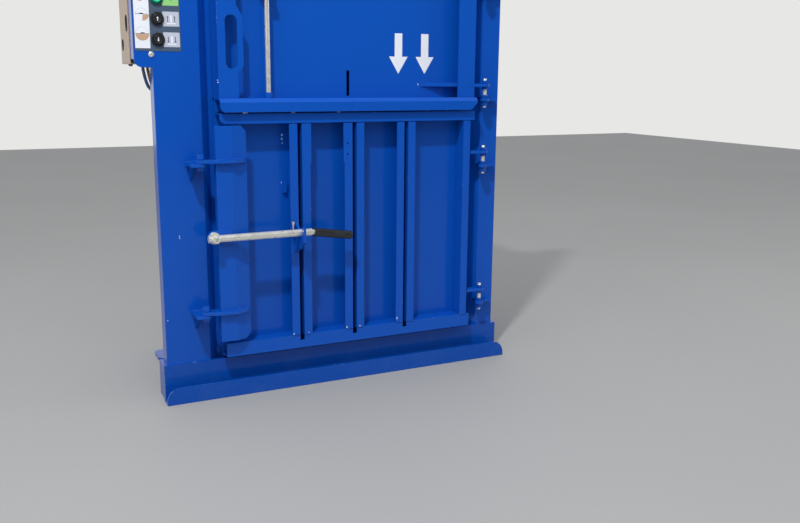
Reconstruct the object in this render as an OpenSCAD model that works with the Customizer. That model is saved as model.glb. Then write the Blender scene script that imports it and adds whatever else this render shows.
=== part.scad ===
// Vertical cardboard baler with two side-hung doors, a clamp bar with a lever, and one press cylinder.
// X runs along the front, Y goes to the back, Z is up. The origin is on the floor at the centre of the
// four anchor holes. Inside the modules, y = 0 is the front face of the two columns.

/* [Front frame] */
// Width over both columns
face_w = 1120; // [1060:1:1200]
// Height of the frame
frame_top = 1660; // [1640:1:1700]
// Front width of the left column
left_face_w = 130; // [120:1:140]
// Front width of the right column
right_face_w = 64; // [56:1:74]
// Depth of a column's side
column_d = 48; // [42:1:50]
// How far the jamb behind the doors lies from the column face
jamb_y = 26; // [24:1:30]
// Sheet of the columns
column_t = 4; // [3:0.5:6]
// Folded lip at the back of a column
column_lip = 25; // [15:1:30]

/* [Base] */
// Height of the base beam
base_h = 106; // [100:1:120]
// Depth of the base beam
base_d = 70; // [66:1:90]
// Base beam beyond each column
base_over = 11; // [4:1:14]
// Base beam in front of the columns
base_out = 10; // [4:1:12]
// Plate of the base
base_t = 6; // [5:0.5:8]
// Height of the folded lip along the sill
lip_h = 51; // [44:1:60]
// Distance of the lip from the column face
lip_out = 60; // [54:1:66]
// Corner radius of the lip
lip_r = 40; // [25:1:42]
// Width of a floor rail
rail_w = 80; // [70:1:90]
// Thickness of an anchor lug
lug_t = 10; // [8:1:14]
// Width of an anchor lug
lug_w = 100; // [80:1:110]
// Anchor holes, pitch along X
anchor_x = 960; // [940:1:980]
// Anchor holes, pitch along Y
anchor_y = 440; // [420:1:450]
// Radius of an anchor hole
anchor_r = 9; // [7:0.5:10]

/* [Chamber] */
// Inside width
chamber_w = 720; // [700:1:730]
// Inside depth behind the door skins
chamber_d = 495; // [480:1:520]
// Plate of the walls
wall_t = 5; // [4:0.5:6]
// Centre of chamber and doors along X
chamber_x = 22; // [18:1:26]
// Height of the bars on the floor
floor_bar_h = 30; // [20:1:34]
// Pitch of the strapping slots
strap_pitch = 176; // [170:1:182]
// Number of strapping slots
strap_n = 3; // [3:2:3]
// Width of a strapping slot
strap_slot = 14; // [10:1:18]
// Height of a stiffening channel on the side walls
wall_rib_h = 60; // [50:1:80]
// Depth of a stiffening channel
wall_rib_d = 40; // [30:1:44]
// Number of stiffening channels on each side wall
wall_rib_n = 5; // [3:1:6]

/* [Doors] */
// Width of the doors
door_w = 836; // [830:1:842]
// Depth of the flanges in front of the skins
flange_out = 50; // [46:1:52]
// Skin of the doors
skin_t = 5; // [4:0.5:6]
// Width of the front flange of the upper door
flange_w = 61; // [56:1:66]
// Sheet of flanges, rails and ribs
door_t = 4; // [3:0.5:5]
// Bottom edge of the lower door
lower_z = 112; // [109:1:116]
// Top edge of the lower door
lower_top = 838; // [830:1:839]
// Bottom edge of the upper door
upper_z = 842; // [841:1:846]
// Top edge of the upper door
upper_top = 1330; // [1310:1:1332]
// Width of a rib's front flange
rib_w = 25; // [21:1:26]
// Width of the wide stretch of two ribs
rib_wide = 29; // [25:1:32]
// Height where the two ribs step
rib_step_z = 690; // [640:1:720]
// Width of the grip slot
grip_w = 34; // [30:1:36]
// Length of the grip slot
grip_h = 147; // [130:1:155]
// Hinge axis beyond the door edge
hinge_gap = 45; // [43:1:47]
// Hinge axis in front of the column face
hinge_out = 40; // [36:1:42]
// Diameter of a hinge bolt
hinge_d = 12; // [10:1:14]
// Thickness of a hinge strap
strap_t = 10; // [8:1:12]

/* [Lock] */
// Pin axis left of the door edge
pin_gap = 55; // [51:1:57]
// Pin axis in front of the column face
pin_out = 58; // [56:1:62]
// Diameter of a pin
pin_d = 14; // [12:1:16]
// Bottom of the clamp bar
post_z = 178; // [174:1:200]
// Top of the clamp bar
post_top = 806; // [780:1:807]
// Thickness of the arms and brackets
arm_t = 10; // [8:1:12]
// Height of the lever
lever_z = 491; // [470:1:510]
// Diameter of the lever tube
lever_d = 21.3; // [20:0.1:24]
// Length of the lever tube beyond the hook
lever_past = 27; // [20:1:30]
// Diameter of the rod inside lever and grip
stub_d = 16; // [13:1:17]
// Diameter of the grip
lever_grip_d = 26; // [24:1:30]
// Length of the grip
lever_grip_l = 125; // [110:1:130]
// Fall of the grip in degrees
grip_fall = 8.2; // [6:0.1:9]
// Diameter of the lever's bolt
bolt_d = 12; // [10:1:14]
// Diameter of the lock rod
rod_d = 14; // [12:1:16]

/* [Press] */
// Stroke of the press
stroke = 690; // [600:1:700]
// Height of the parked platen
platen_z = 1345; // [1342:1:1350]
// Height of the bars under the platen
platen_bar_h = 40; // [30:1:44]
// Plate of the platen
platen_t = 10; // [8:1:12]
// Height of the ribs on the platen
platen_rib_h = 50; // [40:1:54]
// Outer diameter of the barrel
barrel_d = 100; // [92:1:110]
// Bore of the barrel
bore_d = 80; // [70:1:84]
// Diameter of the piston rod
ram_d = 45; // [40:1:50]
// Top of the barrel
barrel_top = 2316; // [2300:1:2350]
// Height of the top beams
beam_h = 120; // [100:1:130]
// Width of the oil tank
tank_w = 240; // [220:1:250]
// Height of the oil tank
tank_h = 220; // [180:1:240]
// Diameter of the motor
motor_d = 160; // [140:1:170]
// Height of the motor on the tank
motor_h = 237; // [210:1:260]
// Width of the square flange round the cylinder
flange_size = 190; // [170:1:200]

/* [Controls] */
// Width of the ear that carries the controls
ear_w = 49; // [44:1:54]
// Bottom of the ear
ear_z = 964; // [950:1:980]
// Top of the ear
ear_top = 1320; // [1310:1:1340]
// Corner radius of the ear
ear_r = 22; // [16:1:26]
// Depth of the control box
box_d = 124; // [110:1:130]
// Width of the control box
box_w = 152; // [140:1:170]
// Radius of a button's collar
collar_r = 18.5; // [17:0.5:20]
// Radius of a button's cap
cap_r = 13; // [11:0.5:14]
// Distance from one button to the next
button_pitch = 55; // [50:1:60]
// Travel of a button
button_travel = 4; // [3:0.5:5]
// Diameter of the blue cable
blue_d = 9; // [7:0.5:10]
// Diameter of the brown cable
brown_d = 8; // [6:0.5:9]
// Diameter of the steel pipes to the cylinder
pipe_d = 16; // [12:1:18]
// Bend radius of the pipes
pipe_r = 20; // [18:1:22]

/* [Hidden] */

$fn = 48;
eps = 0.01;
fit = 0.05;
gap = 0.3;
blue = "royalblue";
zinc = "gainsboro";

// Places that several pieces share
face_y = -anchor_y / 2 + lip_out / 2;
wall_l = chamber_x - chamber_w / 2;
wall_r = chamber_x + chamber_w / 2;
wall_y = jamb_y + column_t;
back_y = skin_t + chamber_d;
door_l = chamber_x - door_w / 2;
door_r = chamber_x + door_w / 2;
// The columns stay clear of the doors' edges
door_gap_l = 8;
door_gap_r = 30;
half_face = max(face_w / 2, left_face_w + jamb_y + door_gap_l - door_l,
    right_face_w + jamb_y + door_gap_r + door_r);
// The anchor holes stay clear of the floor rails
anchor_half = max(anchor_x / 2, wall_r + rail_w + 2 * anchor_r);
straps = [for (i = [0:strap_n - 1]) chamber_x + (i - (strap_n - 1) / 2) * strap_pitch];
bend_l = -half_face + left_face_w;
bend_r = half_face - right_face_w;
floor_z = base_h - base_t;
hinge_x = door_r + hinge_gap;
pin_x = door_l - pin_gap;
beam_z = frame_top - beam_h;
roof_z = frame_top;
roof_t = 4;
ram_y = back_y / 2;

// Moves what is measured from the column face to its place
module from_face() {
    translate([0, face_y, 0]) children();
}

// Unit vector to the left of the way from a to b
function left_of(a, b) = [a.y - b.y, b.x - a.x] / norm(b - a);

// Direction and length of the bevel at point i of a path, for a thickness of one
function miter(p, i) =
    i == 0 ? left_of(p[0], p[1]) :
    i == len(p) - 1 ? left_of(p[i - 1], p[i]) :
    let (n = left_of(p[i - 1], p[i]), m = left_of(p[i], p[i + 1])) (n + m) / (1 + n * m);

// Outline of a sheet bent along a path, with its thickness to the left of the path
function bent(p, t) = concat(p, [for (i = [len(p) - 1:-1:0]) p[i] + t * miter(p, i)]);

// A bent sheet that stands upright
module bent_up(p, t, h) {
    linear_extrude(h) polygon(bent(p, t));
}

// A bent sheet that runs along X, from a path of [y, z] points
module bent_along_x(p, t, l) {
    rotate([90, 0, 90]) linear_extrude(l) polygon(bent(p, t));
}

// A flat sheet in the XZ plane, its front at y = 0
module upright(t) {
    translate([0, t, 0]) rotate([90, 0, 0]) linear_extrude(t) children();
}

// A rectangle with round corners, from its lower left corner
module round_rect(w, h, r) {
    translate([r, 0]) square([w - 2 * r, h]);
    translate([0, r]) square([w, h - 2 * r]);
    for (x = [r, w - r], y = [r, h - r]) translate([x, y]) circle(r);
}

// A slot with round ends, centred, its length along Y
module slot(w, l) {
    square([w, l - w], center = true);
    for (s = [-1, 1]) translate([0, s * (l - w) / 2]) circle(w / 2);
}

// A hexagon nut or bolt head, standing on z = 0
module hexagon(across, h) {
    cylinder(d = across / cos(30), h = h, $fn = 6);
}

// A ring, standing on z = 0
module ring(r, hole_r, h) {
    difference() {
        cylinder(r = r, h = h);
        translate([0, 0, -1]) cylinder(r = hole_r, h = h + 2);
    }
}

// A bar of U-shaped plate that lies along Y, open below, sunk a hair into what it stands on
module folded_bar(w, l, h, t) {
    translate([0, l, -eps]) rotate([90, 0, 0])
        bent_up([[0, 0], [0, h + eps], [w, h + eps], [w, 0]], -t, l);
}

// Base

module base_beam() {
    left = -half_face - base_over;
    path = [[base_d - base_out, 0], [-base_out, 0], [-base_out, base_h],
        [base_d - base_out, base_h]];
    color(blue) from_face() {
        translate([left, 0, 0]) bent_along_x([for (i = [3:-1:0]) path[i]], base_t, -2 * left);
        for (x = [left, -left - base_t])
            translate([x, -base_out, 0]) cube([base_t, base_d, base_h]);
    }
}

rails_from = base_d - base_out;
rails_to = back_y + 55;

module base_rails() {
    rail_t = 5;
    left = wall_l - rail_w;
    right = wall_r + rail_w;
    lug_y = anchor_y - lip_out / 2;
    outer = anchor_half + 35;
    // Folded channel that opens towards the middle, as a path of [x, z] points
    channel = [[wall_l, floor_z], [left, floor_z], [left, 0], [wall_l, 0]];
    color(blue) from_face() {
        for (m = [0, 1]) translate([m * (left + right), rails_to, 0]) mirror([m, 0, 0])
            rotate([90, 0, 0]) bent_up(channel, rail_t, rails_to - rails_from);
        translate([left, 0, 0]) bent_along_x([[rails_to - rail_w, 0], [rails_to, 0],
            [rails_to, floor_z], [rails_to - rail_w, floor_z]], rail_t, right - left);
        for (s = [-1, 1]) {
            inner = s < 0 ? left : right;
            difference() {
                linear_extrude(lug_t) {
                    translate([s > 0 ? inner - 3 : -outer + 22, lug_y - lug_w / 2])
                        square([outer - 22 + 3 - s * inner, lug_w]);
                    translate([s > 0 ? outer - 44 : -outer, lug_y - lug_w / 2])
                        round_rect(44, lug_w, 22 - eps);
                }
                translate([s * anchor_half, lug_y, -1]) cylinder(r = anchor_r, h = lug_t + 2);
            }
        }
    }
}

module sill_lip() {
    w = 2 * (half_face + base_over + 4);
    color(blue) from_face() difference() {
        union() {
            translate([-w / 2, -lip_out, 0]) upright(base_t) {
                square([w, lip_h - lip_r]);
                translate([lip_r, 0]) square([w - 2 * lip_r, lip_h]);
                for (x = [lip_r, w - lip_r]) translate([x, lip_h - lip_r]) circle(lip_r);
            }
            translate([-w / 2, -lip_out, 0]) cube([w, lip_out - base_out, base_t]);
        }
        translate([-w, -2 * lip_out, -lip_r]) cube([2 * w, 3 * lip_out, lip_r]);
        for (s = [-1, 1]) translate([s * anchor_half, -lip_out / 2, -1])
            cylinder(r = anchor_r, h = base_t + 2);
    }
}

module floor_plate() {
    y0 = base_d - base_out;
    edges = concat([wall_l], [for (x = straps) each [x - strap_slot, x + strap_slot]], [wall_r]);
    color(blue) from_face() {
        translate([wall_l - rail_w, y0, floor_z])
            cube([chamber_w + 2 * rail_w, rails_to - y0, base_t]);
        for (i = [0:2:len(edges) - 1])
            translate([edges[i] + 2, y0, base_h])
                folded_bar(edges[i + 1] - edges[i] - 4, back_y - y0 - 2, floor_bar_h, 5);
    }
}

// Front frame

// The holes in which the four buttons travel, through sheet of the given thickness behind y = 0
module button_holes(t) {
    for (z = [down_z, up_z, start_z, stop_z]) translate([button_x, t + 1, z])
        rotate([90, 0, 0]) cylinder(r = cap_r + gap, h = t + 4);
}

module left_column() {
    path = [[-half_face + column_lip, column_d], [-half_face, column_d], [-half_face, 0],
        [bend_l, 0], [bend_l + jamb_y, jamb_y], [wall_l, jamb_y]];
    ear_l = -half_face - ear_w;
    ear_h = ear_top - ear_z;
    color(blue) from_face() difference() {
        union() {
            translate([0, 0, base_h]) bent_up(path, column_t, frame_top - base_h);
            translate([ear_l, 0, ear_z]) upright(column_t) {
                intersection() {
                    round_rect(ear_w + 60, ear_h, ear_r);
                    square([ear_w + 2, ear_h]);
                }
            }
            translate([0, 0, ear_z + ear_r]) bent_up([[ear_l + 18, column_d], [ear_l, column_d],
                [ear_l, 0], [ear_l + 10, 0]], column_t, ear_h - 2 * ear_r);
        }
        button_holes(column_t);
    }
}

module right_column() {
    path = [[wall_r, jamb_y], [bend_r - jamb_y, jamb_y], [bend_r, 0], [half_face, 0],
        [half_face, column_d], [half_face - column_lip, column_d]];
    color(blue) from_face() translate([0, 0, base_h])
        bent_up(path, column_t, frame_top - base_h);
}

module header() {
    z0 = upper_top + 6;
    out = 12;
    inset = 8;
    w = bend_r - bend_l - 2 * inset;
    path = [[skin_t, frame_top], [-out, frame_top], [-out, z0], [skin_t, z0]];
    color(blue) from_face() {
        translate([bend_l + inset, 0, 0]) bent_along_x(path, column_t, w);
        for (x = [bend_l + jamb_y + 4, bend_r - jamb_y - 8])
            translate([x, -out + 1, z0]) cube([4, jamb_y + out - 1, frame_top - z0]);
    }
}

// Chamber

wall_ribs = [for (i = [0:wall_rib_n - 1]) 160 + i * (frame_top - 300) / (wall_rib_n - 1)];

// One side wall with its channels, side is -1 for the left and 1 for the right
module side_wall(side) {
    x = side < 0 ? wall_l : wall_r;
    h = frame_top - base_h;
    color(blue) from_face() {
        translate([side < 0 ? x - wall_t : x, wall_y, base_h])
            cube([wall_t, back_y - wall_y, h]);
        for (z = wall_ribs) difference() {
            translate([side < 0 ? x - wall_t - wall_rib_d : x + wall_t - eps, wall_y + 10, z])
                cube([wall_rib_d + eps, back_y - wall_y - 10, wall_rib_h]);
            translate([side < 0 ? x - wall_t - wall_rib_d + 4 : x + wall_t, wall_y, z + 4])
                cube([wall_rib_d - 4, back_y, wall_rib_h - 8]);
        }
    }
}

module wall_left() side_wall(-1);
module wall_right() side_wall(1);

module back_wall() {
    rib_d = 45;
    slot_z = base_h + 44;
    slot_h = upper_top - 30 - slot_z;
    color(blue) from_face() difference() {
        union() {
            translate([wall_l - wall_t, back_y, base_h])
                cube([chamber_w + 2 * wall_t, wall_t, frame_top - base_h]);
            for (x = straps, s = [-1, 1]) {
                web = x + s * strap_slot / 2;
                path = [[web, back_y + wall_t - eps], [web, back_y + rib_d],
                    [web + s * rib_w, back_y + rib_d]];
                translate([0, 0, base_h + 20])
                    bent_up(s > 0 ? path : [for (i = [2:-1:0]) path[i]], -door_t, slot_h + 40);
            }
            for (z = [base_h + 20, slot_z + slot_h + 16])
                translate([wall_l - wall_t, back_y + wall_t - eps, z])
                    cube([chamber_w + 2 * wall_t, 40, door_t]);
        }
        for (x = straps) translate([x - strap_slot / 2, back_y - 1, slot_z])
            cube([strap_slot, wall_t + 2, slot_h]);
    }
}

// Press

module top_beams() {
    flange = 45;
    color(blue) from_face() for (y = [ram_y - 130, ram_y + 130]) {
        s = y < ram_y ? 1 : -1;
        path = [[y + s * flange, roof_z], [y, roof_z], [y, beam_z], [y + s * flange, beam_z]];
        translate([wall_l, 0, 0])
            bent_along_x(s > 0 ? path : [for (i = [3:-1:0]) path[i]], 8, chamber_w);
    }
}

module roof_plate() {
    color(blue) from_face() translate([0, 0, roof_z]) linear_extrude(roof_t) difference() {
        union() {
            translate([wall_l - wall_t, 0]) square([chamber_w + 2 * wall_t, back_y + wall_t]);
            translate([-half_face, 0]) square([2 * half_face, column_d]);
        }
        translate([chamber_x, ram_y]) circle(d = barrel_d + 4);
    }
}

module cylinder_flange() {
    color(blue) from_face() translate([chamber_x, ram_y, roof_z + roof_t]) difference() {
        translate([-flange_size / 2, -flange_size / 2, 0]) linear_extrude(22)
            round_rect(flange_size, flange_size, 20);
        translate([0, 0, -1]) cylinder(d = barrel_d + 2 * fit, h = 24);
        for (a = [45:90:315]) rotate(a) translate([flange_size * 0.54, 0, -1])
            cylinder(r = 7, h = 24);
    }
}

barrel_z = roof_z + roof_t - 180;
gland_in = 36;
cap_in = 16;

module cylinder_barrel() {
    color("navy") from_face() translate([chamber_x, ram_y, 0]) {
        difference() {
            union() {
                translate([0, 0, barrel_z]) cylinder(d = barrel_d, h = barrel_top - barrel_z);
                for (z = [barrel_top - 60, roof_z + 70])
                    translate([0, barrel_d / 2 + 14, z]) rotate([90, 0, 0]) cylinder(r = 13, h = 40);
            }
            translate([0, 0, barrel_z - 1]) cylinder(d = bore_d, h = barrel_top - barrel_z + 2);
        }
    }
}

module cylinder_cap() {
    color("navy") from_face() translate([chamber_x, ram_y, barrel_top]) {
        cylinder(d = barrel_d, h = 14);
        translate([0, 0, -cap_in]) cylinder(d = bore_d - 2 * fit, h = cap_in + 1);
    }
}

module cylinder_gland() {
    color(zinc) from_face() translate([chamber_x, ram_y, barrel_z]) difference() {
        union() {
            cylinder(d = bore_d - 2 * fit, h = gland_in);
            translate([0, 0, -14]) cylinder(d = barrel_d, h = 14);
        }
        translate([0, 0, -15]) cylinder(d = ram_d + 2 * fit, h = gland_in + 16);
    }
}

ram_z = platen_z + platen_bar_h + platen_t + platen_rib_h;
piston_z = barrel_top - cap_in - 10 - 50;

module piston_rod() {
    color("white") from_face() translate([chamber_x, ram_y, 0]) {
        translate([0, 0, ram_z]) cylinder(d = ram_d, h = piston_z - ram_z + 1);
        translate([0, 0, piston_z]) cylinder(d = bore_d - 2 * fit, h = 50);
    }
}

shoe_t = 10;
platen_y = skin_t + 9;
platen_d = back_y - 10 - platen_y;
platen_w = chamber_w - 2 * shoe_t;

module platen() {
    l = chamber_x - platen_w / 2;
    r = chamber_x + platen_w / 2;
    edges = concat([l], [for (x = straps) each [x - strap_slot, x + strap_slot]], [r]);
    z1 = platen_z + platen_bar_h;
    z2 = z1 + platen_t;
    color(blue) from_face() {
        for (i = [0:2:len(edges) - 1]) translate([edges[i + 1], platen_y, z1])
            rotate([0, 180, 0]) folded_bar(edges[i + 1] - edges[i], platen_d, platen_bar_h, 8);
        translate([l, platen_y, z1]) cube([platen_w, platen_d, platen_t]);
        for (x = [l, l + platen_w / 3, l + platen_w * 2 / 3 - 8, r - 8])
            translate([x, platen_y, z2 - eps]) cube([8, platen_d, platen_rib_h]);
        for (y = [platen_y, platen_y + platen_d - 8])
            translate([l, y, z2 - eps]) cube([platen_w, 8, platen_rib_h]);
        translate([l, ram_y - 4, z2 - eps]) cube([platen_w, 8, platen_rib_h - 6]);
        translate([chamber_x, ram_y, z2 - eps]) cylinder(d = 110, h = platen_rib_h + eps);
    }
}

module platen_shoes() {
    z = platen_z + platen_bar_h;
    color("white") from_face() for (s = [-1, 1], y = [platen_y + 60, platen_y + platen_d - 140]) {
        x = s < 0 ? wall_l + gap : wall_r - shoe_t;
        translate([x, y, z]) cube([shoe_t - gap, 80, platen_t + platen_rib_h - 5]);
    }
}

// Power pack on the roof

tank_gap = 13;
tank_x = chamber_x - flange_size / 2 - tank_gap - tank_w;
tank_y = 60;
tank_d = 360;
tank_z = roof_z + roof_t;
lid_t = 8;
pack_z = tank_z + tank_h + lid_t;
motor_x = tank_x + tank_w / 2;
motor_y = tank_y + 100;
valve_y = tank_y + tank_d - 65;

module oil_tank() {
    sheet = 4;
    color("dimgray") from_face() translate([tank_x, tank_y, tank_z]) difference() {
        linear_extrude(tank_h) round_rect(tank_w, tank_d, 14);
        translate([sheet, sheet, sheet]) linear_extrude(tank_h)
            round_rect(tank_w - 2 * sheet, tank_d - 2 * sheet, 14 - sheet);
    }
}

module tank_lid() {
    color("dimgray") from_face() {
        translate([tank_x - 6, tank_y - 6, tank_z + tank_h])
            linear_extrude(lid_t) round_rect(tank_w + 12, tank_d + 12, 18);
        translate([tank_x + 36, valve_y - 70, pack_z - 1]) {
            cylinder(r = 18, h = 24);
            translate([0, 0, 20]) cylinder(r = 25, h = 22);
        }
    }
}

module motor() {
    fins = 20;
    foot = 14;
    fan = 42;
    terminals = 84;
    color("dimgray") from_face() translate([motor_x, motor_y, pack_z]) {
        cylinder(r = motor_d / 2 + 8, h = foot);
        translate([0, 0, foot - 1]) cylinder(r = motor_d / 2 - 10, h = motor_h - fan - foot + 8);
        for (i = [0:fins - 1]) rotate(i * 360 / fins) translate([motor_d / 2 - 12, -1.5, 20])
            cube([12, 3, motor_h - fan - 30]);
        translate([0, 0, motor_h - fan]) cylinder(r = motor_d / 2 - 1, h = fan);
        translate([-motor_d / 2 - 22, -terminals / 2, 60]) cube([40, terminals, terminals]);
    }
}

valve_w = 110;
valve_h = 90;

module valve_block() {
    color("silver") from_face() translate([motor_x, valve_y, pack_z]) {
        translate([-valve_w / 2, -45, 0]) cube([valve_w, 90, valve_h]);
        for (s = [-1, 1]) translate([0, s * 44, valve_h - 26]) rotate([s * 90, 0, 0])
            translate([0, 0, -40]) cylinder(r = 19, h = 40);
        translate([valve_w / 2 - 1, 0, valve_h - 28]) rotate([0, 90, 0]) cylinder(r = 12, h = 20);
        translate([valve_w / 2 - 1, 26, 30]) rotate([0, 90, 0]) cylinder(r = 12, h = 20);
    }
}

// One steel pipe: from x0 along X to the port's plane, up or down by h, and forward by l to the port
module pipe(x0, y, z, h, l) {
    up = sign(h);
    x = chamber_x;
    translate([x0, y, z]) rotate([0, 90, 0]) cylinder(d = pipe_d, h = x - x0 - pipe_r);
    translate([x - pipe_r, y, z + up * pipe_r]) rotate([90, 0, 0]) rotate(up > 0 ? -90 : 0)
        rotate_extrude(angle = 90) translate([pipe_r, 0]) circle(d = pipe_d);
    translate([x, y, z + (up > 0 ? pipe_r : h + pipe_r)])
        cylinder(d = pipe_d, h = abs(h) - 2 * pipe_r);
    translate([x, y - pipe_r, z + h - up * pipe_r]) rotate([90, 0, 90]) rotate(up > 0 ? 0 : -90)
        rotate_extrude(angle = 90) translate([pipe_r, 0]) circle(d = pipe_d);
    translate([x, y - pipe_r, z + h]) rotate([90, 0, 0]) cylinder(d = pipe_d, h = l - pipe_r);
    translate([x0 + 2, y, z]) rotate([0, 90, 0]) hexagon(24, 18);
    translate([x, y - l + 20, z + h]) rotate([90, 0, 0]) hexagon(24, 18);
}

valve_port = motor_x + valve_w / 2 + 19;
barrel_port = ram_y + barrel_d / 2 + 14;

module pipes() {
    color(zinc) from_face() {
        pipe(valve_port, valve_y + 26, pack_z + 30, roof_z + 70 - pack_z - 30,
            valve_y + 26 - barrel_port);
        pipe(valve_port, valve_y, pack_z + valve_h - 28, barrel_top - 60 - pack_z - valve_h + 28,
            valve_y - barrel_port);
    }
}

// Cables, each swept along points chosen by hand

// A tube with flat ends along a list of points, each ring square to the way through it
function unit(v) = v / norm(v);
function way(p, i) = unit(p[min(i + 1, len(p) - 1)] - p[max(i - 1, 0)]);
function turned(n, t) = unit(n - (n * t) * t);
function frames(p, i, n) = i == len(p) ? [] :
    let (m = turned(n, way(p, i))) concat([m], frames(p, i + 1, m));

// A smooth curve through the points, steps pieces between two of them, with both ends straight
function through(p, i, u) = let (
        a = p[max(i - 1, 0)], b = p[i], c = p[i + 1], d = p[min(i + 2, len(p) - 1)])
    0.5 * (2 * b + (c - a) * u + (2 * a - 5 * b + 4 * c - d) * u * u
        + (3 * b - a - 3 * c + d) * u * u * u);
function smooth(p, steps) = concat([p[0]], [for (i = [1:len(p) - 3], s = [0:steps - 1])
    through(p, i, s / steps)], [p[len(p) - 2], p[len(p) - 1]]);

module tube(points, d, steps, start = [0, 1, 0]) {
    sides = 8;
    p = smooth(points, steps);
    n = frames(p, 0, turned(start, way(p, 0)));
    rings = [for (i = [0:len(p) - 1], k = [0:sides - 1]) let (m = cross(way(p, i), n[i]))
        p[i] + d / 2 * (cos(k * 360 / sides) * n[i] + sin(k * 360 / sides) * m)];
    last = len(rings) - sides;
    polyhedron(rings, concat(
        [[for (k = [sides - 1:-1:0]) k]],
        [for (i = [0:len(p) - 2], k = [0:sides - 1]) let (a = i * sides + k,
            b = i * sides + (k + 1) % sides) [a, b, b + sides, a + sides]],
        [[for (k = [0:sides - 1]) last + k]]));
}

box_x = -half_face - ear_w - 3;
box_y = column_d + 4;
box_z = ear_z + 9;
box_top = ear_top - 24;
gland_r = 9;
gland_l = 8;
blue_at = [box_x + 39, box_y + 20, box_z];
brown_at = [box_x + 56, box_y + 44, box_z];
duct_x = -half_face + 80;
duct_z = box_z - 50;

// The route of a cable from its gland into the duct, given where the gland is
function cable_route(at) = [at - [0, 0, gland_l], at - [0, 0, gland_l + 6],
    at + [7.5, 2, -48], at + [18.5, 3, -68], at + [45, 4, -79],
    [duct_x - 14, at.y + 4, at.z - 79], [duct_x, at.y + 4, at.z - 79]];

module blue_cable() color("slateblue") from_face() tube(cable_route(blue_at), blue_d, 4);
module brown_cable() color("saddlebrown") from_face() tube(cable_route(brown_at), brown_d, 4);

module cable_duct() {
    size = [56, 64, duct_z - 160];
    color(blue) from_face() translate([duct_x, column_d + gap, 160]) cube(size);
}

// Controls

module box_gasket() {
    color("black") from_face() translate([box_x + 3, column_d, box_z + 3])
        cube([box_w - 6, box_y - column_d, box_top - box_z - 6]);
}

module control_box() {
    color("tan") from_face() difference() {
        translate([box_x, box_y, box_z]) cube([box_w, box_d, box_top - box_z]);
        for (s = [[box_y + 21, 1083, 30, 44], [box_y + 93, 1026, 28, 30], [box_y + 21, 1180, 30, 44]])
            translate([box_x - 1, s[0], s[1]]) rotate([90, 0, 90]) linear_extrude(5) slot(s[2], s[3]);
    }
}

panel_t = 1;
panel_x = -half_face - ear_w + 4;
panel_w = 125;
panel_z = 1008;
panel_top = 1238;
button_x = -half_face + 18;
down_z = 1039;
up_z = down_z + button_pitch;
start_z = up_z + button_pitch;
stop_z = start_z + button_pitch;
switch_z = panel_top + 44;
collar_t = 5;

module overlay_panel() {
    color("slategray") from_face() difference() {
        translate([panel_x, -panel_t, panel_z])
            upright(panel_t) round_rect(panel_w, panel_top - panel_z, 3);
        button_holes(0);
    }
}

// Puts what stands on z = 0 on the front of the panel, facing forward, at height z
module on_panel(z, t = panel_t) {
    from_face() translate([button_x, -t, z]) rotate([90, 0, 0]) children();
}

module button_collars() {
    color("black") {
        for (z = [down_z, up_z, start_z]) on_panel(z) ring(collar_r, cap_r + gap, collar_t);
        on_panel(stop_z) ring(collar_r + 1, cap_r - 4, collar_t);
    }
}

module switch_plate() {
    color("gold") on_panel(switch_z, 0) difference() {
        translate([-24, -24, 0]) linear_extrude(3) round_rect(48, 48, 5);
        translate([0, 0, -1]) cylinder(r = 8 + fit, h = 5);
    }
}

// A push button, sunk so that its face stands proud by out
module cap(out) {
    on_panel(0) cylinder(r = cap_r, h = collar_t + out);
}

module start_button() color("mediumspringgreen") translate([0, 0, start_z]) cap(button_travel);
module up_button() color("black") translate([0, 0, up_z]) cap(button_travel);
module down_button() color("black") translate([0, 0, down_z]) cap(button_travel);

module stop_button() {
    color("red") on_panel(stop_z) {
        cylinder(r = cap_r - 4 - fit, h = collar_t + 8);
        translate([0, 0, collar_t + button_travel + 2]) rotate_extrude()
            polygon([[0, 0], [20, 0], [20, 5], [17, 9], [10, 11], [0, 11]]);
    }
}

module main_switch() {
    color("red") on_panel(switch_z, 0) {
        cylinder(r = 8, h = 5);
        translate([0, 0, 3 + gap]) cylinder(r = 17, h = 9);
        translate([-5, -16, 10]) cube([10, 32, 14]);
    }
}

module panel_screws() {
    color(zinc) from_face() for (p = [[-half_face - 2, panel_z - 9], [-half_face - 30, panel_top + 70],
            [-half_face + 50, panel_top + 70]])
        translate([p.x, 0, p.y]) rotate([90, 0, 0]) rotate_extrude()
            polygon([[0, 0], [8, 0], [7.5, 2], [4.5, 4], [0, 4.5]]);
}

module cable_glands() {
    color("black") from_face() for (p = [blue_at, brown_at]) translate(p) rotate([180, 0, 0]) {
        hexagon(16, gland_l - 3);
        translate([0, 0, gland_l - 4]) cylinder(r = gland_r - 2, h = 4);
    }
}

// Clamp bar and lever

arm_z = [262, 702];

module lock_brackets() {
    reach = pin_out + 16;
    color(blue) from_face() for (z = arm_z) {
        difference() {
            translate([pin_x - 31, -reach, z - arm_t]) linear_extrude(arm_t) difference() {
                union() {
                    translate([0, 16]) square([47, reach - 16]);
                    translate([16, 0]) square([31 - 16, 20]);
                    translate([31, 16]) circle(16);
                    translate([16, 16]) circle(16);
                }
            }
            translate([pin_x, -pin_out, z - arm_t - 1]) cylinder(d = pin_d + 2 * fit, h = arm_t + 2);
        }
        translate([pin_x - 21, 0, z - arm_t]) rotate([0, 90, 0])
            linear_extrude(8) polygon([[0, 0], [0, -40], [45, 0]]);
    }
}

module lock_pins() {
    color(blue) from_face() for (z = arm_z) translate([pin_x, -pin_out, z]) {
        translate([0, 0, -arm_t - 12]) cylinder(d = pin_d, h = 2 * arm_t + 14);
        translate([0, 0, arm_t + 1]) cylinder(d = pin_d + 8, h = 3);
        translate([0, 0, arm_t + 3]) hexagon(pin_d + 5, 12);
        translate([0, 0, -arm_t - 11]) hexagon(pin_d + 5, 11);
    }
}

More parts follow.
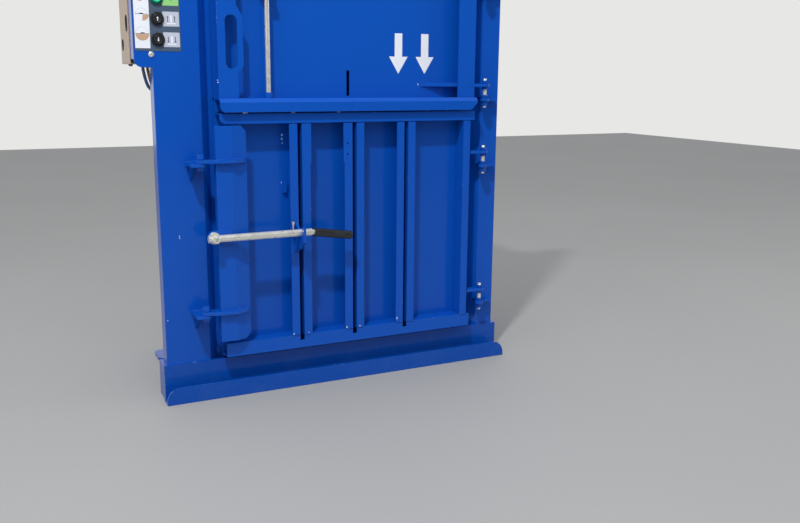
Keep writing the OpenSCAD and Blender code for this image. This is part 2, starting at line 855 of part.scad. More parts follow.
post_l = door_l - 17;
post_front = flange_out + 25;
post_bend = post_l + 48;
post_r = post_l + 94;
post_back = flange_out + 2;
// Outline of the clamp bar from above, from the back of its left side to its right edge
post_path = [[post_l, -post_back], [post_l, -post_front], [post_bend, -post_front],
    [post_r, -post_back - 6], [post_r, -post_back]];
bolt_x = post_l - 14;
lug_plate = 8;
lug_r = 21;
lug_l = 72;
washer_t = 3;
lever_y = -post_front - lug_plate - washer_t - gap - lever_d / 2;

module clamp_bar() {
    t = 6;
    cut = 18;
    color(blue) from_face() {
        difference() {
            translate([0, 0, post_z]) bent_up(post_path, t, post_top - post_z);
            for (m = [0, 1]) translate([post_r, -post_front - 20, m ? post_top : post_z])
                mirror([0, 0, m]) rotate([-90, 0, 0])
                    linear_extrude(60) polygon([[1, 1], [1, -cut], [-cut, 1]]);
        }
        difference() {
            translate([bolt_x - 19, -post_front - lug_plate, lever_z - lug_r]) upright(lug_plate) {
                translate([lug_r, lug_r]) circle(lug_r);
                translate([lug_r, 0]) square([lug_l - lug_r, 2 * lug_r]);
            }
            translate([bolt_x, -post_front + 1, lever_z]) rotate([90, 0, 0])
                cylinder(d = bolt_d + 2 * fit, h = lug_plate + 2);
        }
    }
}

module clamp_arms() {
    front = post_front + 15;
    color(blue) from_face() for (z = arm_z) translate([0, 0, z + gap]) linear_extrude(arm_t - gap)
        difference() {
            hull() {
                translate([pin_x, -pin_out]) circle(17);
                translate([post_l + 8, -front + 16]) circle(16);
                translate([post_bend + 4, -front + 16]) circle(16);
                translate([post_r - 17, -post_back - 12]) circle(11);
            }
            polygon(concat(post_path, [[post_r, -flange_out], [post_l, -flange_out]]));
            translate([pin_x, -pin_out]) circle(d = pin_d + 2 * fit);
        }
}

module lever_bolt() {
    color(zinc) from_face() translate([bolt_x, -post_front - lug_plate, lever_z]) {
        rotate([90, 0, 0]) {
            cylinder(r = 17, h = washer_t);
            cylinder(d = bolt_d, h = washer_t + lever_d + 3);
            translate([0, 0, washer_t + lever_d + 2 * gap]) cylinder(r = 12, h = 2.5);
            translate([0, 0, washer_t + lever_d + 2 * gap + 2]) hexagon(18, 8);
        }
        rotate([-90, 0, 0]) cylinder(d = bolt_d, h = lug_plate + 9);
        translate([0, lug_plate, 0]) rotate([-90, 0, 0]) hexagon(18, 8);
    }
}

keeper_x = straps[0] - strap_slot / 2 - door_t;
keeper_t = 8;
lever_tail = 20;
lever_end = keeper_x + lever_past;
lever_l = lever_end - bolt_x + lever_tail;
knee_x = lever_end + 1;

module lever_tube() {
    color(zinc) from_face() translate([bolt_x - lever_tail, lever_y, lever_z]) difference() {
        rotate([0, 90, 0]) cylinder(d = lever_d, h = lever_l);
        translate([lever_l - 60, 0, 0]) rotate([0, 90, 0]) cylinder(d = stub_d + 2 * fit, h = 61);
        translate([lever_tail, lever_d, 0]) rotate([90, 0, 0])
            cylinder(d = bolt_d + 2 * fit, h = 2 * lever_d);
    }
}

module lever_rod() {
    color(zinc) from_face() {
        translate([lever_end - 58, lever_y, lever_z]) rotate([0, 90, 0])
            cylinder(d = stub_d, h = knee_x - lever_end + 58);
        translate([knee_x, lever_y, lever_z]) {
            sphere(d = stub_d);
            rotate([0, 90 + grip_fall, 0]) cylinder(d = stub_d, h = lever_grip_l - 6);
        }
    }
}

module lever_grip() {
    edge = 5;
    r = lever_grip_d / 2;
    hole = stub_d / 2 + fit;
    color("black") from_face() translate([knee_x, lever_y, lever_z]) rotate([0, 90 + grip_fall, 0])
        translate([0, 0, 6]) rotate_extrude()
            polygon([[hole, 0], [r - 3, 0], [r, 3], [r, lever_grip_l - edge],
                [r - edge, lever_grip_l], [0, lever_grip_l], [0, lever_grip_l - 10],
                [hole, lever_grip_l - 10]]);
}

module keeper() {
    under = lever_z - lever_d / 2 - gap;
    front = lever_y - lever_d / 2 - 2;
    back = lever_y + lever_d / 2 + 3;
    color(blue) from_face() translate([keeper_x - keeper_t, 0, 0]) rotate([90, 0, 90])
        linear_extrude(keeper_t) polygon([[-flange_out, under - 58], [front + 20, under - 40],
            [front - 14, under - 16], [front - 14, lever_z + 21], [front - 4, lever_z + 21],
            [front, lever_z + 15], [front, under], [back, under], [back, lever_z + 6],
            [-flange_out, lever_z + 22]]);
}

module keeper_pin() {
    color(zinc) from_face() translate([keeper_x - keeper_t - 8, -flange_out - 7, lever_z - 16]) {
        cylinder(d = 5, h = 38);
        translate([0, 0, 35]) cylinder(d = 8, h = 8);
        translate([-5, -5, 4]) cube([10, 12, 12]);
    }
}

// Lower door

module lower_door_panel() {
    back = jamb_y - 2;
    slot_z = lower_z + 34;
    path = [[door_l + door_t, back], [door_l + door_t, 0], [door_r, 0], [door_r, back]];
    color(blue) from_face() difference() {
        translate([0, 0, lower_z]) bent_up(path, skin_t, lower_top - lower_z);
        for (x = straps) translate([x - strap_slot / 2, -1, slot_z])
            cube([strap_slot, skin_t + 2, lower_top - 40 - slot_z]);
    }
    color(blue) from_face() translate([straps[0] - 40, -10, 600]) cube([12, 10 + eps, 30]);
}

// Cuts the lower left corner of an upright plate round, from just outside it
module corner_cut(r, t) {
    translate([0, t, 0]) rotate([90, 0, 0]) linear_extrude(t) difference() {
        square(r);
        translate([r, r]) circle(r);
    }
}

module lower_door_rails() {
    top_path = [[0, lower_top], [-flange_out, lower_top], [-flange_out, lower_top - 29]];
    low = lower_z + 9;
    low_path = [[0, low + 42], [-flange_out, low + 42], [-flange_out, low], [0, low]];
    notch = 18;
    color(blue) from_face() {
        difference() {
            translate([door_l + 4, 0, 0]) bent_along_x(top_path, door_t, door_w);
            translate([door_l + 3, -flange_out - 1, lower_top - 30]) corner_cut(21, door_t + 2);
        }
        difference() {
            translate([door_l + 4, 0, 0]) bent_along_x(low_path, door_t, door_w - 4);
            for (x = straps) translate([x - strap_slot / 2, -flange_out - 1, low + 42 - notch])
                cube([strap_slot, flange_out + 2, notch + 1]);
        }
    }
}

module lower_door_ribs() {
    z0 = lower_z + 51;
    h = lower_top - door_t - z0;
    end_x = door_r - 36;
    color(blue) from_face() {
        for (i = [0:strap_n - 1], s = [-1, 1]) {
            web = straps[i] + s * strap_slot / 2;
            stepped = (i == 0 && s > 0) || (i == 1 && s < 0);
            path = [[web, 0], [web, -flange_out], [web + s * (stepped ? rib_w + 1 : rib_w), -flange_out]];
            wide = [web, -flange_out];
            difference() {
                union() {
                    translate([0, 0, z0])
                        bent_up(s > 0 ? path : [for (k = [2:-1:0]) path[k]], door_t, h - 27);
                    if (stepped) translate([s > 0 ? web : web - rib_wide, -flange_out, rib_step_z])
                        cube([rib_wide, door_t, lower_top - 31 - rib_step_z]);
                    translate([s > 0 ? web : web - door_t, -flange_out + door_t, z0])
                        cube([door_t, flange_out - door_t, h]);
                }
                if (i == 1 && s < 0) for (z = [712, 745]) translate([web - 16, -flange_out - 1, z])
                    rotate([-90, 0, 0]) cylinder(r = 3, h = door_t + 2);
            }
        }
        translate([end_x, 0, z0]) bent_up([[0, 0], [0, -flange_out], [rib_w, -flange_out]], door_t, h - 27);
    }
}

slit = 26;

// One hinge strap, its outline from above, that starts at x and ends in an eye round the bolt
module strap(x) {
    nose = door_r - slit + gap;
    difference() {
        union() {
            polygon([[x, 0], [door_r - 50, -36], [door_r - 30, -flange_out + door_t + 1],
                [nose, -flange_out + door_t + 1], [nose, -flange_out], [hinge_x - 25, -flange_out],
                [hinge_x, -hinge_out - 15], [hinge_x, -hinge_out + 15],
                [door_r - 2, -hinge_out + 18], [door_r - 2, -1], [door_r - 20, 0]]);
            translate([hinge_x, -hinge_out]) circle(15);
        }
        translate([hinge_x, -hinge_out]) circle(d = hinge_d + 2 * fit);
    }
}

lower_straps = [236, 700];
upper_straps = [914, upper_top - 70];
bolt_drop = 46;

module lower_door_straps() {
    color(blue) from_face() for (z = lower_straps) translate([0, 0, z]) linear_extrude(strap_t)
        difference() {
            strap(door_r - 10);
            translate([door_r - 60, -70]) square([60 - 8, 140]);
        }
}

// Upper door

// Height of the bottom rail's ledge over the door's edge
ledge_h = 39;

module upper_door_panel() {
    back = jamb_y - 2;
    z0 = upper_z + ledge_h;
    h = upper_top - z0;
    edge = door_l + 5;
    slot_x = door_l + 45;
    slot_z = 1036;
    bulge = grip_h / 2;
    left = [[edge, back], [edge, -flange_out], [edge + 12, -flange_out]];
    right = [[door_r - 12, -flange_out], [door_r, -flange_out], [door_r, back]];
    color(blue) from_face() difference() {
        union() {
            translate([edge, 0, upper_z]) cube([door_r - 1 - edge, skin_t, upper_top - upper_z]);
            translate([0, 0, z0]) bent_up(left, door_t, h);
            translate([0, 0, z0]) bent_up(right, door_t, h);
            translate([door_r - flange_w, -flange_out, z0]) cube([flange_w - 6, door_t, h]);
            translate([0, -flange_out, 0]) upright(door_t) polygon([[edge + 6, z0],
                [door_l + flange_w + 2, z0], [door_l + flange_w + 2, slot_z - bulge - 12],
                [door_l + flange_w + 18, slot_z - bulge + 8], [door_l + flange_w + 18, slot_z + bulge - 4],
                [door_l + flange_w, slot_z + bulge + 26], [door_l + flange_w, upper_top],
                [edge + 6, upper_top]]);
        }
        translate([slot_x, -flange_out - 1, slot_z]) rotate([90, 0, 0]) translate([0, 0, -door_t - 2])
            linear_extrude(door_t + 4) slot(grip_w, grip_h);
        translate([straps[1] - 5, -1, upper_z + 44]) cube([10, skin_t + 2, 75]);
        for (z = upper_straps) translate([door_r - slit, -flange_out - 20, z - gap])
            cube([40, flange_out + 20, strap_t + 2 * gap]);
    }
}

module upper_door_rails() {
    out = flange_out + 15;
    ledge = upper_z + ledge_h;
    path = [[0, ledge], [-flange_out - 5, ledge], [-out, ledge - 11], [-out, upper_z],
        [-out + 26, upper_z]];
    x0 = door_l + 4;
    x1 = door_r + 5;
    color(blue) from_face() {
        difference() {
            translate([x0, 0, 0]) bent_along_x(path, door_t, x1 - x0);
            translate([x0 - 1, -out - 1, upper_z - 1]) corner_cut(21, 60);
            translate([x1 + 1, -out - 1, upper_z - 1]) rotate([-90, 0, 0]) linear_extrude(60)
                polygon([[0, 0], [-23, 0], [0, -25]]);
            translate([door_r - 6, -flange_out + 16, upper_z - 1]) cube([60, 60, 60]);
            translate([rod_x, -rod_out, ledge - 10]) cylinder(d = rod_d + 2 * fit, h = 20);
        }
        translate([door_l + flange_w + 10, 0, 0]) bent_along_x(
            [[0, upper_top], [-flange_out + 8, upper_top], [-flange_out + 8, upper_top - 30]],
            door_t, door_w - 2 * flange_w - 20);
    }
}

module upper_door_straps() {
    color(blue) from_face() for (z = upper_straps) translate([0, 0, z]) linear_extrude(strap_t)
        strap(door_r - 172);
}

rod_x = door_l + 156;
rod_out = 30;
guide_z = upper_top - 160;
guide_t = 22;
knob_z = guide_z + guide_t + gap;

module rod_guides() {
    color(blue) from_face() translate([rod_x, -rod_out, 0]) {
        translate([0, 0, upper_z + ledge_h]) ring(13, rod_d / 2 + fit, 16);
        difference() {
            translate([-16, -16, guide_z]) cube([32, 16 + rod_out, guide_t]);
            translate([0, 0, guide_z - 1]) cylinder(d = rod_d + 2 * fit, h = guide_t + 2);
        }
    }
}

module lock_rod() {
    color(zinc) from_face() translate([rod_x, -rod_out, 0]) {
        translate([0, 0, upper_z + 12]) cylinder(d = rod_d, h = knob_z - upper_z - 11);
        translate([0, 0, knob_z]) rotate_extrude()
            polygon([[0, 0], [9, 0], [16, 8], [17, 20], [13, 30], [0, 33]]);
    }
}

// Hinges of both doors on the right column

module hinge_brackets() {
    color(blue) from_face() for (z = concat(lower_straps, upper_straps)) {
        translate([0, 0, z - bolt_drop]) linear_extrude(strap_t) difference() {
            union() {
                translate([hinge_x - 1, -hinge_out + 8]) square([half_face - 20 - hinge_x, hinge_out - 8]);
                translate([bend_r + 4, -hinge_out / 2]) square([half_face - 20 - bend_r, hinge_out / 2]);
                translate([hinge_x, -hinge_out]) circle(14);
            }
            translate([hinge_x, -hinge_out]) circle(d = hinge_d + 2 * fit);
        }
    }
}

module hinge_bolts() {
    head = 9;
    color(zinc) from_face() for (z = concat(lower_straps, upper_straps))
        translate([hinge_x, -hinge_out, z]) {
            translate([0, 0, -bolt_drop - 20]) cylinder(d = hinge_d, h = bolt_drop + strap_t + 26);
            translate([0, 0, -bolt_drop - 14]) hexagon(hinge_d + 6, 14 - gap);
            translate([0, 0, -bolt_drop + strap_t + gap]) hexagon(hinge_d + 6, 10);
            translate([0, 0, -8 - gap]) hexagon(hinge_d + 6, 8);
            translate([0, 0, strap_t + gap]) hexagon(hinge_d + 6, head);
        }
}

base_beam();
base_rails();
sill_lip();
floor_plate();
left_column();
right_column();
wall_left();
wall_right();
back_wall();
header();
top_beams();
roof_plate();
cylinder_flange();
cylinder_barrel();
cylinder_cap();
cylinder_gland();
oil_tank();
tank_lid();
motor();
valve_block();
pipes();
control_box();
box_gasket();
overlay_panel();
button_collars();
switch_plate();
panel_screws();
cable_glands();
blue_cable();
brown_cable();
cable_duct();
lock_brackets();
lock_pins();
hinge_brackets();
hinge_bolts();
platen();
platen_shoes();
piston_rod();
clamp_bar();
clamp_arms();
lever_bolt();
lever_tube();
lever_rod();
lever_grip();
lower_door_panel();
lower_door_rails();
lower_door_ribs();
lower_door_straps();
keeper();
keeper_pin();
upper_door_panel();
upper_door_rails();
upper_door_straps();
rod_guides();
lock_rod();
start_button();
up_button();
down_button();
stop_button();
main_switch();
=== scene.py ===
import math
import bmesh
import bpy
from mathutils import Matrix, Vector


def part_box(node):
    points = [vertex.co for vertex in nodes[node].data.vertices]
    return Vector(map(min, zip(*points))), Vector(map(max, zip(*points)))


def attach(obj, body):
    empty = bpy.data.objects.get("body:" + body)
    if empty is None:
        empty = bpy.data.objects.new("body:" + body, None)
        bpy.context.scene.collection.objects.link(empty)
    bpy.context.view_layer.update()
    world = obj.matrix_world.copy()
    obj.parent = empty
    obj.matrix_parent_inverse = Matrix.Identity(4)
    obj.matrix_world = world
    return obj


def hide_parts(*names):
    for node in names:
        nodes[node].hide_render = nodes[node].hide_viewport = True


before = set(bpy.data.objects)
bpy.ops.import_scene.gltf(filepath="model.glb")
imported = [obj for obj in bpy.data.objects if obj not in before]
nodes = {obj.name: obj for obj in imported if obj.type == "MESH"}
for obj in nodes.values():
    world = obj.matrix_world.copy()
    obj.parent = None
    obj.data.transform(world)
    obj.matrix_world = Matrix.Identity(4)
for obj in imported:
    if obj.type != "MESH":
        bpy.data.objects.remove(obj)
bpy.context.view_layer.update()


# Studio
#
# The press stands on a plain pale floor. A small strong lamp hangs above and in front of it, and
# three weak ones fill its shadows. The camera stands to the left of the press, at eye height.

EYE = Vector((-1.0416, -2.7023, 0.955))
YAW, PITCH, ROLL = (math.radians(a) for a in (26.374, 12.135, 0.519))
ahead = Vector((math.sin(YAW) * math.cos(PITCH), math.cos(YAW) * math.cos(PITCH), -math.sin(PITCH)))
level = Vector((math.cos(YAW), -math.sin(YAW), 0))
aside = math.cos(ROLL) * level + math.sin(ROLL) * level.cross(ahead)
above = aside.cross(ahead)
lens = bpy.data.cameras.new("camera")
lens.lens = 39.44
lens.sensor_width = 36
camera = bpy.data.objects.new("camera", lens)
camera.matrix_world = Matrix.Translation(EYE) @ Matrix((aside, above, -ahead)).transposed().to_4x4()
bpy.context.scene.collection.objects.link(camera)
bpy.context.scene.camera = camera
bpy.context.scene.view_settings.view_transform = "Standard"


def lamp(name, place, target, size, power):
    light = bpy.data.lights.new(name, "AREA")
    light.shape = "RECTANGLE"
    light.size, light.size_y = size
    light.energy = power
    lit = bpy.data.objects.new(name, light)
    lit.location = place
    lit.rotation_euler = (Vector(target) - Vector(place)).to_track_quat("-Z", "Y").to_euler()
    bpy.context.scene.collection.objects.link(lit)


lamp("lamp_over", place=(-1.6, -2.3, 4.3), target=(0, -0.2, 0.6), size=(0.24, 0.16), power=130)
lamp("lamp_left", place=(-4.5, -2.4, 2.4), target=(0, -0.2, 0.9), size=(2.0, 2.4), power=22)
lamp("lamp_front", place=(-0.4, -4.2, 4.0), target=(0, -0.2, 0.8), size=(2.4, 1.4), power=18)
lamp("lamp_right", place=(4.8, -2.0, 2.2), target=(0, -0.2, 0.8), size=(1.6, 1.6), power=28)


def add_node(tree, kind, settings=None, sockets=None):
    """Adds a node to a tree: first its settings, then a value or a link for each socket named."""
    made = tree.nodes.new(kind)
    for key, value in (settings or {}).items():
        setattr(made, key, value)
    for key, value in (sockets or {}).items():
        if isinstance(value, bpy.types.NodeSocket):
            tree.links.new(value, made.inputs[key])
        else:
            made.inputs[key].default_value = value
    return made


class Out:
    """A socket in the nodes of a finish. Sums, differences and products of it add Math nodes."""

    def __init__(self, finish, socket):
        self.finish, self.socket = finish, socket

    def maths(self, operation, a, b):
        return self.finish.node("ShaderNodeMath", {"operation": operation}, {0: a, 1: b})

    def __add__(self, other):
        return self.maths("ADD", self, other)

    def __sub__(self, other):
        return self.maths("SUBTRACT", self, other)

    def __rsub__(self, other):
        return self.maths("SUBTRACT", other, self)

    def __mul__(self, other):
        return self.maths("MULTIPLY", self, other)

    __radd__ = __add__
    __rmul__ = __mul__


class Finish:
    """A material made of nodes, with the few calls that the finishes of this press share."""

    def __init__(self, name):
        self.material = bpy.data.materials.new(name)
        self.material.use_nodes = True
        self.tree = self.material.node_tree
        self.tree.nodes.clear()
        self.place = self.node("ShaderNodeTexCoord", out="Object")

    def node(self, kind, settings=None, sockets=None, out=0):
        inputs = {key: value.socket if isinstance(value, Out) else value
            for key, value in (sockets or {}).items()}
        return Out(self, add_node(self.tree, kind, settings, inputs).outputs[out])

    def noise(self, scale, detail=2, rough=0.5, place=None):
        return self.node("ShaderNodeTexNoise", {}, {"Vector": place or self.place, "Scale": scale,
            "Detail": detail, "Roughness": rough})

    def stretched(self, x, y, z):
        return self.node("ShaderNodeMapping", {}, {"Vector": self.place, "Scale": (x, y, z)})

    def mix(self, share, a, b):
        return self.node("ShaderNodeMix", {"data_type": "RGBA"}, {0: share, 6: a, 7: b}, out=2)

    def step(self, value, low, high):
        return self.node("ShaderNodeMapRange", {"interpolation_type": "SMOOTHSTEP"},
            {0: value, 1: low, 2: high})

    def height(self):
        return self.node("ShaderNodeSeparateXYZ", {}, {0: self.place}, out="Z")

    def soft_edge(self, radius):
        return self.node("ShaderNodeBevel", {"samples": 4}, {"Radius": radius})

    def edge(self, radius):
        true = self.node("ShaderNodeNewGeometry", out="True Normal")
        same = self.node("ShaderNodeVectorMath", {"operation": "DOT_PRODUCT"},
            {0: self.soft_edge(radius), 1: true}, out="Value")
        return self.step(1 - same, 0.02, 0.2)

    def bump(self, height, distance, normal=None):
        sockets = {"Height": height, "Distance": distance}
        if normal:
            sockets["Normal"] = normal
        return self.node("ShaderNodeBump", {}, sockets)

    def surface(self, sockets):
        shader = self.node("ShaderNodeBsdfPrincipled", {}, sockets)
        add_node(self.tree, "ShaderNodeOutputMaterial", {}, {0: shader.socket})
        return self.material


def dressed(finish, *names):
    for name in names:
        nodes[name].data.materials.clear()
        nodes[name].data.materials.append(finish)


# The floor is a pale, slightly cloudy poured screed.

screed = Finish("pale_screed")
cloud = screed.noise(0.7, 4)
pores = screed.noise(60, 3)
pale, paler = (0.35, 0.35, 0.345, 1), (0.4, 0.4, 0.395, 1)
floor_material = screed.surface({"Base Color": screed.mix(cloud, pale, paler),
    "Roughness": 0.62 + 0.15 * pores, "Normal": screed.bump(pores, 0.0004)})
HALF_FLOOR = 9
floor_mesh = bpy.data.meshes.new("floor")
floor_mesh.from_pydata([(x * HALF_FLOOR, y * HALF_FLOOR, 0) for x, y in ((-1, -1), (1, -1), (1, 1), (-1, 1))],
    [], [(0, 1, 2, 3)])
floor = bpy.data.objects.new("floor", floor_mesh)
bpy.context.scene.collection.objects.link(floor)
floor_mesh.materials.append(floor_material)

# The surround looks plain and pale from every side. Only the gloss of the paint mirrors it darker
# in front of the press than behind it, and it lights the press with a soft grey.

SEEN, LIGHTING = (0.8, 0.8, 0.79, 1), (0.58, 0.59, 0.61, 1)
MIRRORED_FRONT, MIRRORED_REAR = (0.07, 0.09, 0.12, 1), (0.85, 0.85, 0.84, 1)
world = bpy.data.worlds.new("surround")
bpy.context.scene.world = world
world.use_nodes = True
sky = world.node_tree
ray = add_node(sky, "ShaderNodeLightPath").outputs
direction = add_node(sky, "ShaderNodeTexCoord").outputs["Generated"]
toward = add_node(sky, "ShaderNodeSeparateXYZ", {}, {0: direction}).outputs["Y"]
rearward = add_node(sky, "ShaderNodeMapRange", {}, {"Value": toward, "From Min": -0.35, "From Max": 0.1})


def blended(share, a, b):
    return add_node(sky, "ShaderNodeMix", {"data_type": "RGBA"}, {0: share, 6: a, 7: b}).outputs[2]


mirrored = blended(rearward.outputs[0], MIRRORED_FRONT, MIRRORED_REAR)
unseen = blended(ray["Is Glossy Ray"], LIGHTING, mirrored)
looked_at = add_node(sky, "ShaderNodeMath", {"operation": "MAXIMUM"},
    {0: ray["Is Camera Ray"], 1: ray["Is Transmission Ray"]}).outputs[0]
sky.links.new(blended(looked_at, unseen, SEEN), sky.nodes["Background"].inputs["Color"])


# Cables
#
# Two PVC cables leave the glands under the control box, hang in a short bow and go into the duct
# behind the left column. The blue-grey one is the supply and the olive-brown one the control line.

def along(points, steps):
    """A smooth way through the points, with both ends straight."""
    way = [points[0]]
    for a, b, c, d in zip(points[:-3], points[1:-2], points[2:-1], points[3:]):
        for u in (step / steps for step in range(steps)):
            way.append(0.5 * (2 * b + (c - a) * u + (2 * a - 5 * b + 4 * c - d) * u ** 2
                + (3 * b - a - 3 * c + d) * u ** 3))
    return way + points[-2:]


def sheathed(name, dark, light):
    sheath = Finish(name)
    marks = sheath.noise(60, 3)
    return sheath.surface({"Base Color": sheath.mix(marks, dark, light), "Roughness": 0.38 + 0.2 * marks,
        "Normal": sheath.bump(sheath.noise(300, 2), 0.0001)})


def cable(name, node, gland, diameter, finish):
    """A cable from its gland, by listed points, to the duct, where it ends level."""
    hand = [gland + Vector(step) for step in ((0, 0, -0.008), (0, 0, -0.014), (0.0075, 0.002, -0.048),
        (0.0185, 0.003, -0.068), (0.045, 0.004, -0.079))]
    hand += [Vector((x, hand[-1].y, hand[-1].z)) for x in (DUCT_X - 0.014, DUCT_X)]
    way = along(hand, 6)
    line = bpy.data.curves.new(name, "CURVE")
    line.dimensions = "3D"
    line.bevel_depth = diameter / 2
    line.bevel_resolution = 5
    line.use_fill_caps = True
    spline = line.splines.new("POLY")
    spline.points.add(len(way) - 1)
    for point, place in zip(spline.points, way):
        point.co = (*place, 1)
    line.materials.append(finish)
    made = bpy.data.objects.new(name, line)
    bpy.context.scene.collection.objects.link(made)
    length = sum((b - a).length for a, b in zip(way, way[1:]))
    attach(made, "frame")
    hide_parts(node)


BOX_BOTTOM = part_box("control_box")[0][2]
DUCT_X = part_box("cable_duct")[0][0]
SUPPLY_GLAND = Vector((-0.573, -0.118, BOX_BOTTOM))
CONTROL_GLAND = Vector((-0.556, -0.094, BOX_BOTTOM))
cable("supply_cable", "blue_cable", SUPPLY_GLAND, 0.009,
    sheathed("blue_grey_sheath", (0.07, 0.11, 0.26, 1), (0.1, 0.15, 0.34, 1)))
cable("control_cable", "brown_cable", CONTROL_GLAND, 0.008,
    sheathed("olive_brown_sheath", (0.21, 0.13, 0.03, 1), (0.3, 0.19, 0.05, 1)))


# Painted steel of the base, the front frame and the chamber
#
# All the folded and welded steel is powder coated in one glossy blue. The coat has a slight
# orange peel, chips to a pale primer on its corners, and dust near the floor.

def blue_paint(name, chips, dust, gloss=0.2, scuffs=0, depth=1.0):
    """The blue coat. Chips, dust and scuffs are shares, and depth makes the blue darker or lighter."""
    paint = Finish(name)
    tone = paint.mix(paint.noise(2.3, 3), (0.0018, 0.075 * depth, 0.44 * depth, 1),
        (0.003, 0.086 * depth, 0.49 * depth, 1))
    grain = paint.noise(120, 4, 0.7)
    spots = paint.noise(34, 3, 0.6)
    worn = paint.edge(0.003) * paint.step(grain * spots, 0.36 - 0.1 * chips, 0.44 - 0.1 * chips)
    fleck = paint.step(paint.noise(75, 1, 0.4), 0.83 - 0.03 * chips, 0.86 - 0.03 * chips)
    bare = paint.step(worn + fleck * chips, 0.3, 0.7)
    low = paint.step(paint.height(), 0.2, 0.0) * dust
    film = low * paint.step(paint.noise(9, 5, 0.65), 0.42, 0.8)
    marks = paint.step(paint.noise(6, 6, 0.75, paint.stretched(1, 1, 6)), 0.68, 0.8) * (0.16 * dust)
    if scuffs:
        streaks = paint.noise(30, 5, 0.7, paint.stretched(3, 3, 0.14))
        marks = marks + scuffs * paint.step(streaks, 0.5, 0.72)
    colour = paint.mix(0.45 * film + marks, tone, (0.055, 0.12, 0.34, 1))
    colour = paint.mix(bare, colour, (0.32, 0.46, 0.68, 1))
    peel = paint.noise(420, 1)
    rough = gloss + 0.06 * paint.noise(14, 3) + 0.3 * film + 0.25 * marks + 0.3 * bare
    skin = paint.bump(peel, 0.00005, paint.soft_edge(0.0022))
    return paint.surface({"Base Color": colour, "Roughness": rough, "Specular IOR Level": 0.12,
        "Coat Weight": 0.55, "Coat Roughness": 0.08, "Coat IOR": 1.36,
        "Normal": paint.bump(1 - bare, 0.0003, skin)})


frame_paint = blue_paint("blue_paint_frame", chips=0.1, dust=0.3)
# The base's coat is darker (depth 0.84): partly grime, partly painted shade for the dimmer light low down by
# the floor.
base_paint = blue_paint("blue_paint_base", chips=0.35, dust=0.5, gloss=0.22, depth=0.84)
chamber_paint = blue_paint("blue_paint_chamber", chips=1.0, dust=0.7, gloss=0.3, scuffs=0.5)
dressed(base_paint, "base_beam", "base_rails", "sill_lip")
dressed(frame_paint, "left_column", "right_column", "header")
dressed(chamber_paint, "floor_plate", "wall_left", "wall_right", "back_wall")


# Welds
#
# Brackets, ribs and arms are welded on before painting. Each bead is a row of overlapping
# ripples along its seam, laid by one tree of nodes and covered by the same blue coat.

def tree_of(name, inputs):
    tree = bpy.data.node_groups.new(name, "GeometryNodeTree")
    tree.interface.new_socket("Geometry", in_out="INPUT", socket_type="NodeSocketGeometry")
    for label, kind in inputs.items():
        tree.interface.new_socket(label, in_out="INPUT", socket_type="NodeSocket" + kind)
    tree.interface.new_socket("Geometry", in_out="OUTPUT", socket_type="NodeSocketGeometry")
    return tree, tree.nodes.new("NodeGroupInput").outputs


def made_real(tree, instances, finish, smooth=True):
    """Ends a tree: real mesh instead of instances, shaded smooth or flat, in the given finish."""
    real = add_node(tree, "GeometryNodeRealizeInstances", {}, {0: instances})
    shaded = add_node(tree, "GeometryNodeSetShadeSmooth", {}, {0: real.outputs[0], "Shade Smooth": smooth})
    coated = add_node(tree, "GeometryNodeSetMaterial", {}, {0: shaded.outputs[0], "Material": finish})
    add_node(tree, "NodeGroupOutput", {}, {0: coated.outputs[0]})


bead_tree, given = tree_of("weld_bead", {"Throat": "Float", "Pitch": "Float", "Finish": "Material"})
seam = add_node(bead_tree, "GeometryNodeMeshToCurve", {}, {0: given["Geometry"]})
drops = add_node(bead_tree, "GeometryNodeCurveToPoints", {"mode": "LENGTH"},
    {0: seam.outputs[0], "Length": given["Pitch"]})
ripple = add_node(bead_tree, "GeometryNodeMeshUVSphere", {},
    {"Segments": 8, "Rings": 5, "Radius": given["Throat"]})
flattened = add_node(bead_tree, "GeometryNodeTransform", {}, {0: ripple.outputs[0], "Scale": (1, 1, 0.7)})
uneven = add_node(bead_tree, "FunctionNodeRandomValue", {}, {2: 0.88, 3: 1.12, "Seed": 4})
row = add_node(bead_tree, "GeometryNodeInstanceOnPoints", {}, {0: drops.outputs["Points"],
    "Instance": flattened.outputs[0], "Rotation": drops.outputs["Rotation"], "Scale": uneven.outputs[1]})
made_real(bead_tree, row.outputs[0], given["Finish"])


def grown(name, start, tree, values, body):
    """Runs a tree of nodes on a start mesh and keeps its result as a plain piece on a body."""
    maker = bpy.data.objects.new(name, start)
    bpy.context.scene.collection.objects.link(maker)
    modifier = maker.modifiers.new("grow", "NODES")
    modifier.node_group = tree
    for socket in tree.interface.items_tree:
        if socket.name in values:
            modifier[socket.identifier] = values[socket.name]
    bpy.context.view_layer.update()
    evaluated = maker.evaluated_get(bpy.context.evaluated_depsgraph_get())
    result = bpy.data.meshes.new_from_object(evaluated)
    maker.modifiers.remove(modifier)
    maker.data = result
    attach(maker, body)
    return maker


def weld(name, seams, body, throat=0.0030, finish=None):
    """One bead along each seam, a list of points."""
    points, edges = [], []
    for line in seams:
        edges += [(len(points) + i, len(points) + i + 1) for i in range(len(line) - 1)]
        points += line
    start = bpy.data.meshes.new(name)
    start.from_pydata(points, edges, [])
    values = {"Throat": throat, "Pitch": throat * 0.8, "Finish": finish or frame_paint}
    return grown(name, start, bead_tree, values, body)


# Straps, arms and brackets are 10 mm plates. A bead's middle lies half a millimetre off its plate.

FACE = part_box("left_column")[0][1]
BEAM_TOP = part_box("base_beam")[1][2]
PLATE, OFF = 0.010, 0.0005
COLUMN_EDGE, EAR_FOOT, EAR_TOP = -0.560, 0.970, 1.312
weld("welds_frame", [[(-0.558, FACE, BEAM_TOP + OFF), (-0.432, FACE, BEAM_TOP + OFF)],
    [(0.500, FACE, BEAM_TOP + OFF), (0.558, FACE, BEAM_TOP + OFF)],
    [(COLUMN_EDGE - OFF, FACE + 0.004, z) for z in (EAR_FOOT, EAR_TOP)]], "frame")


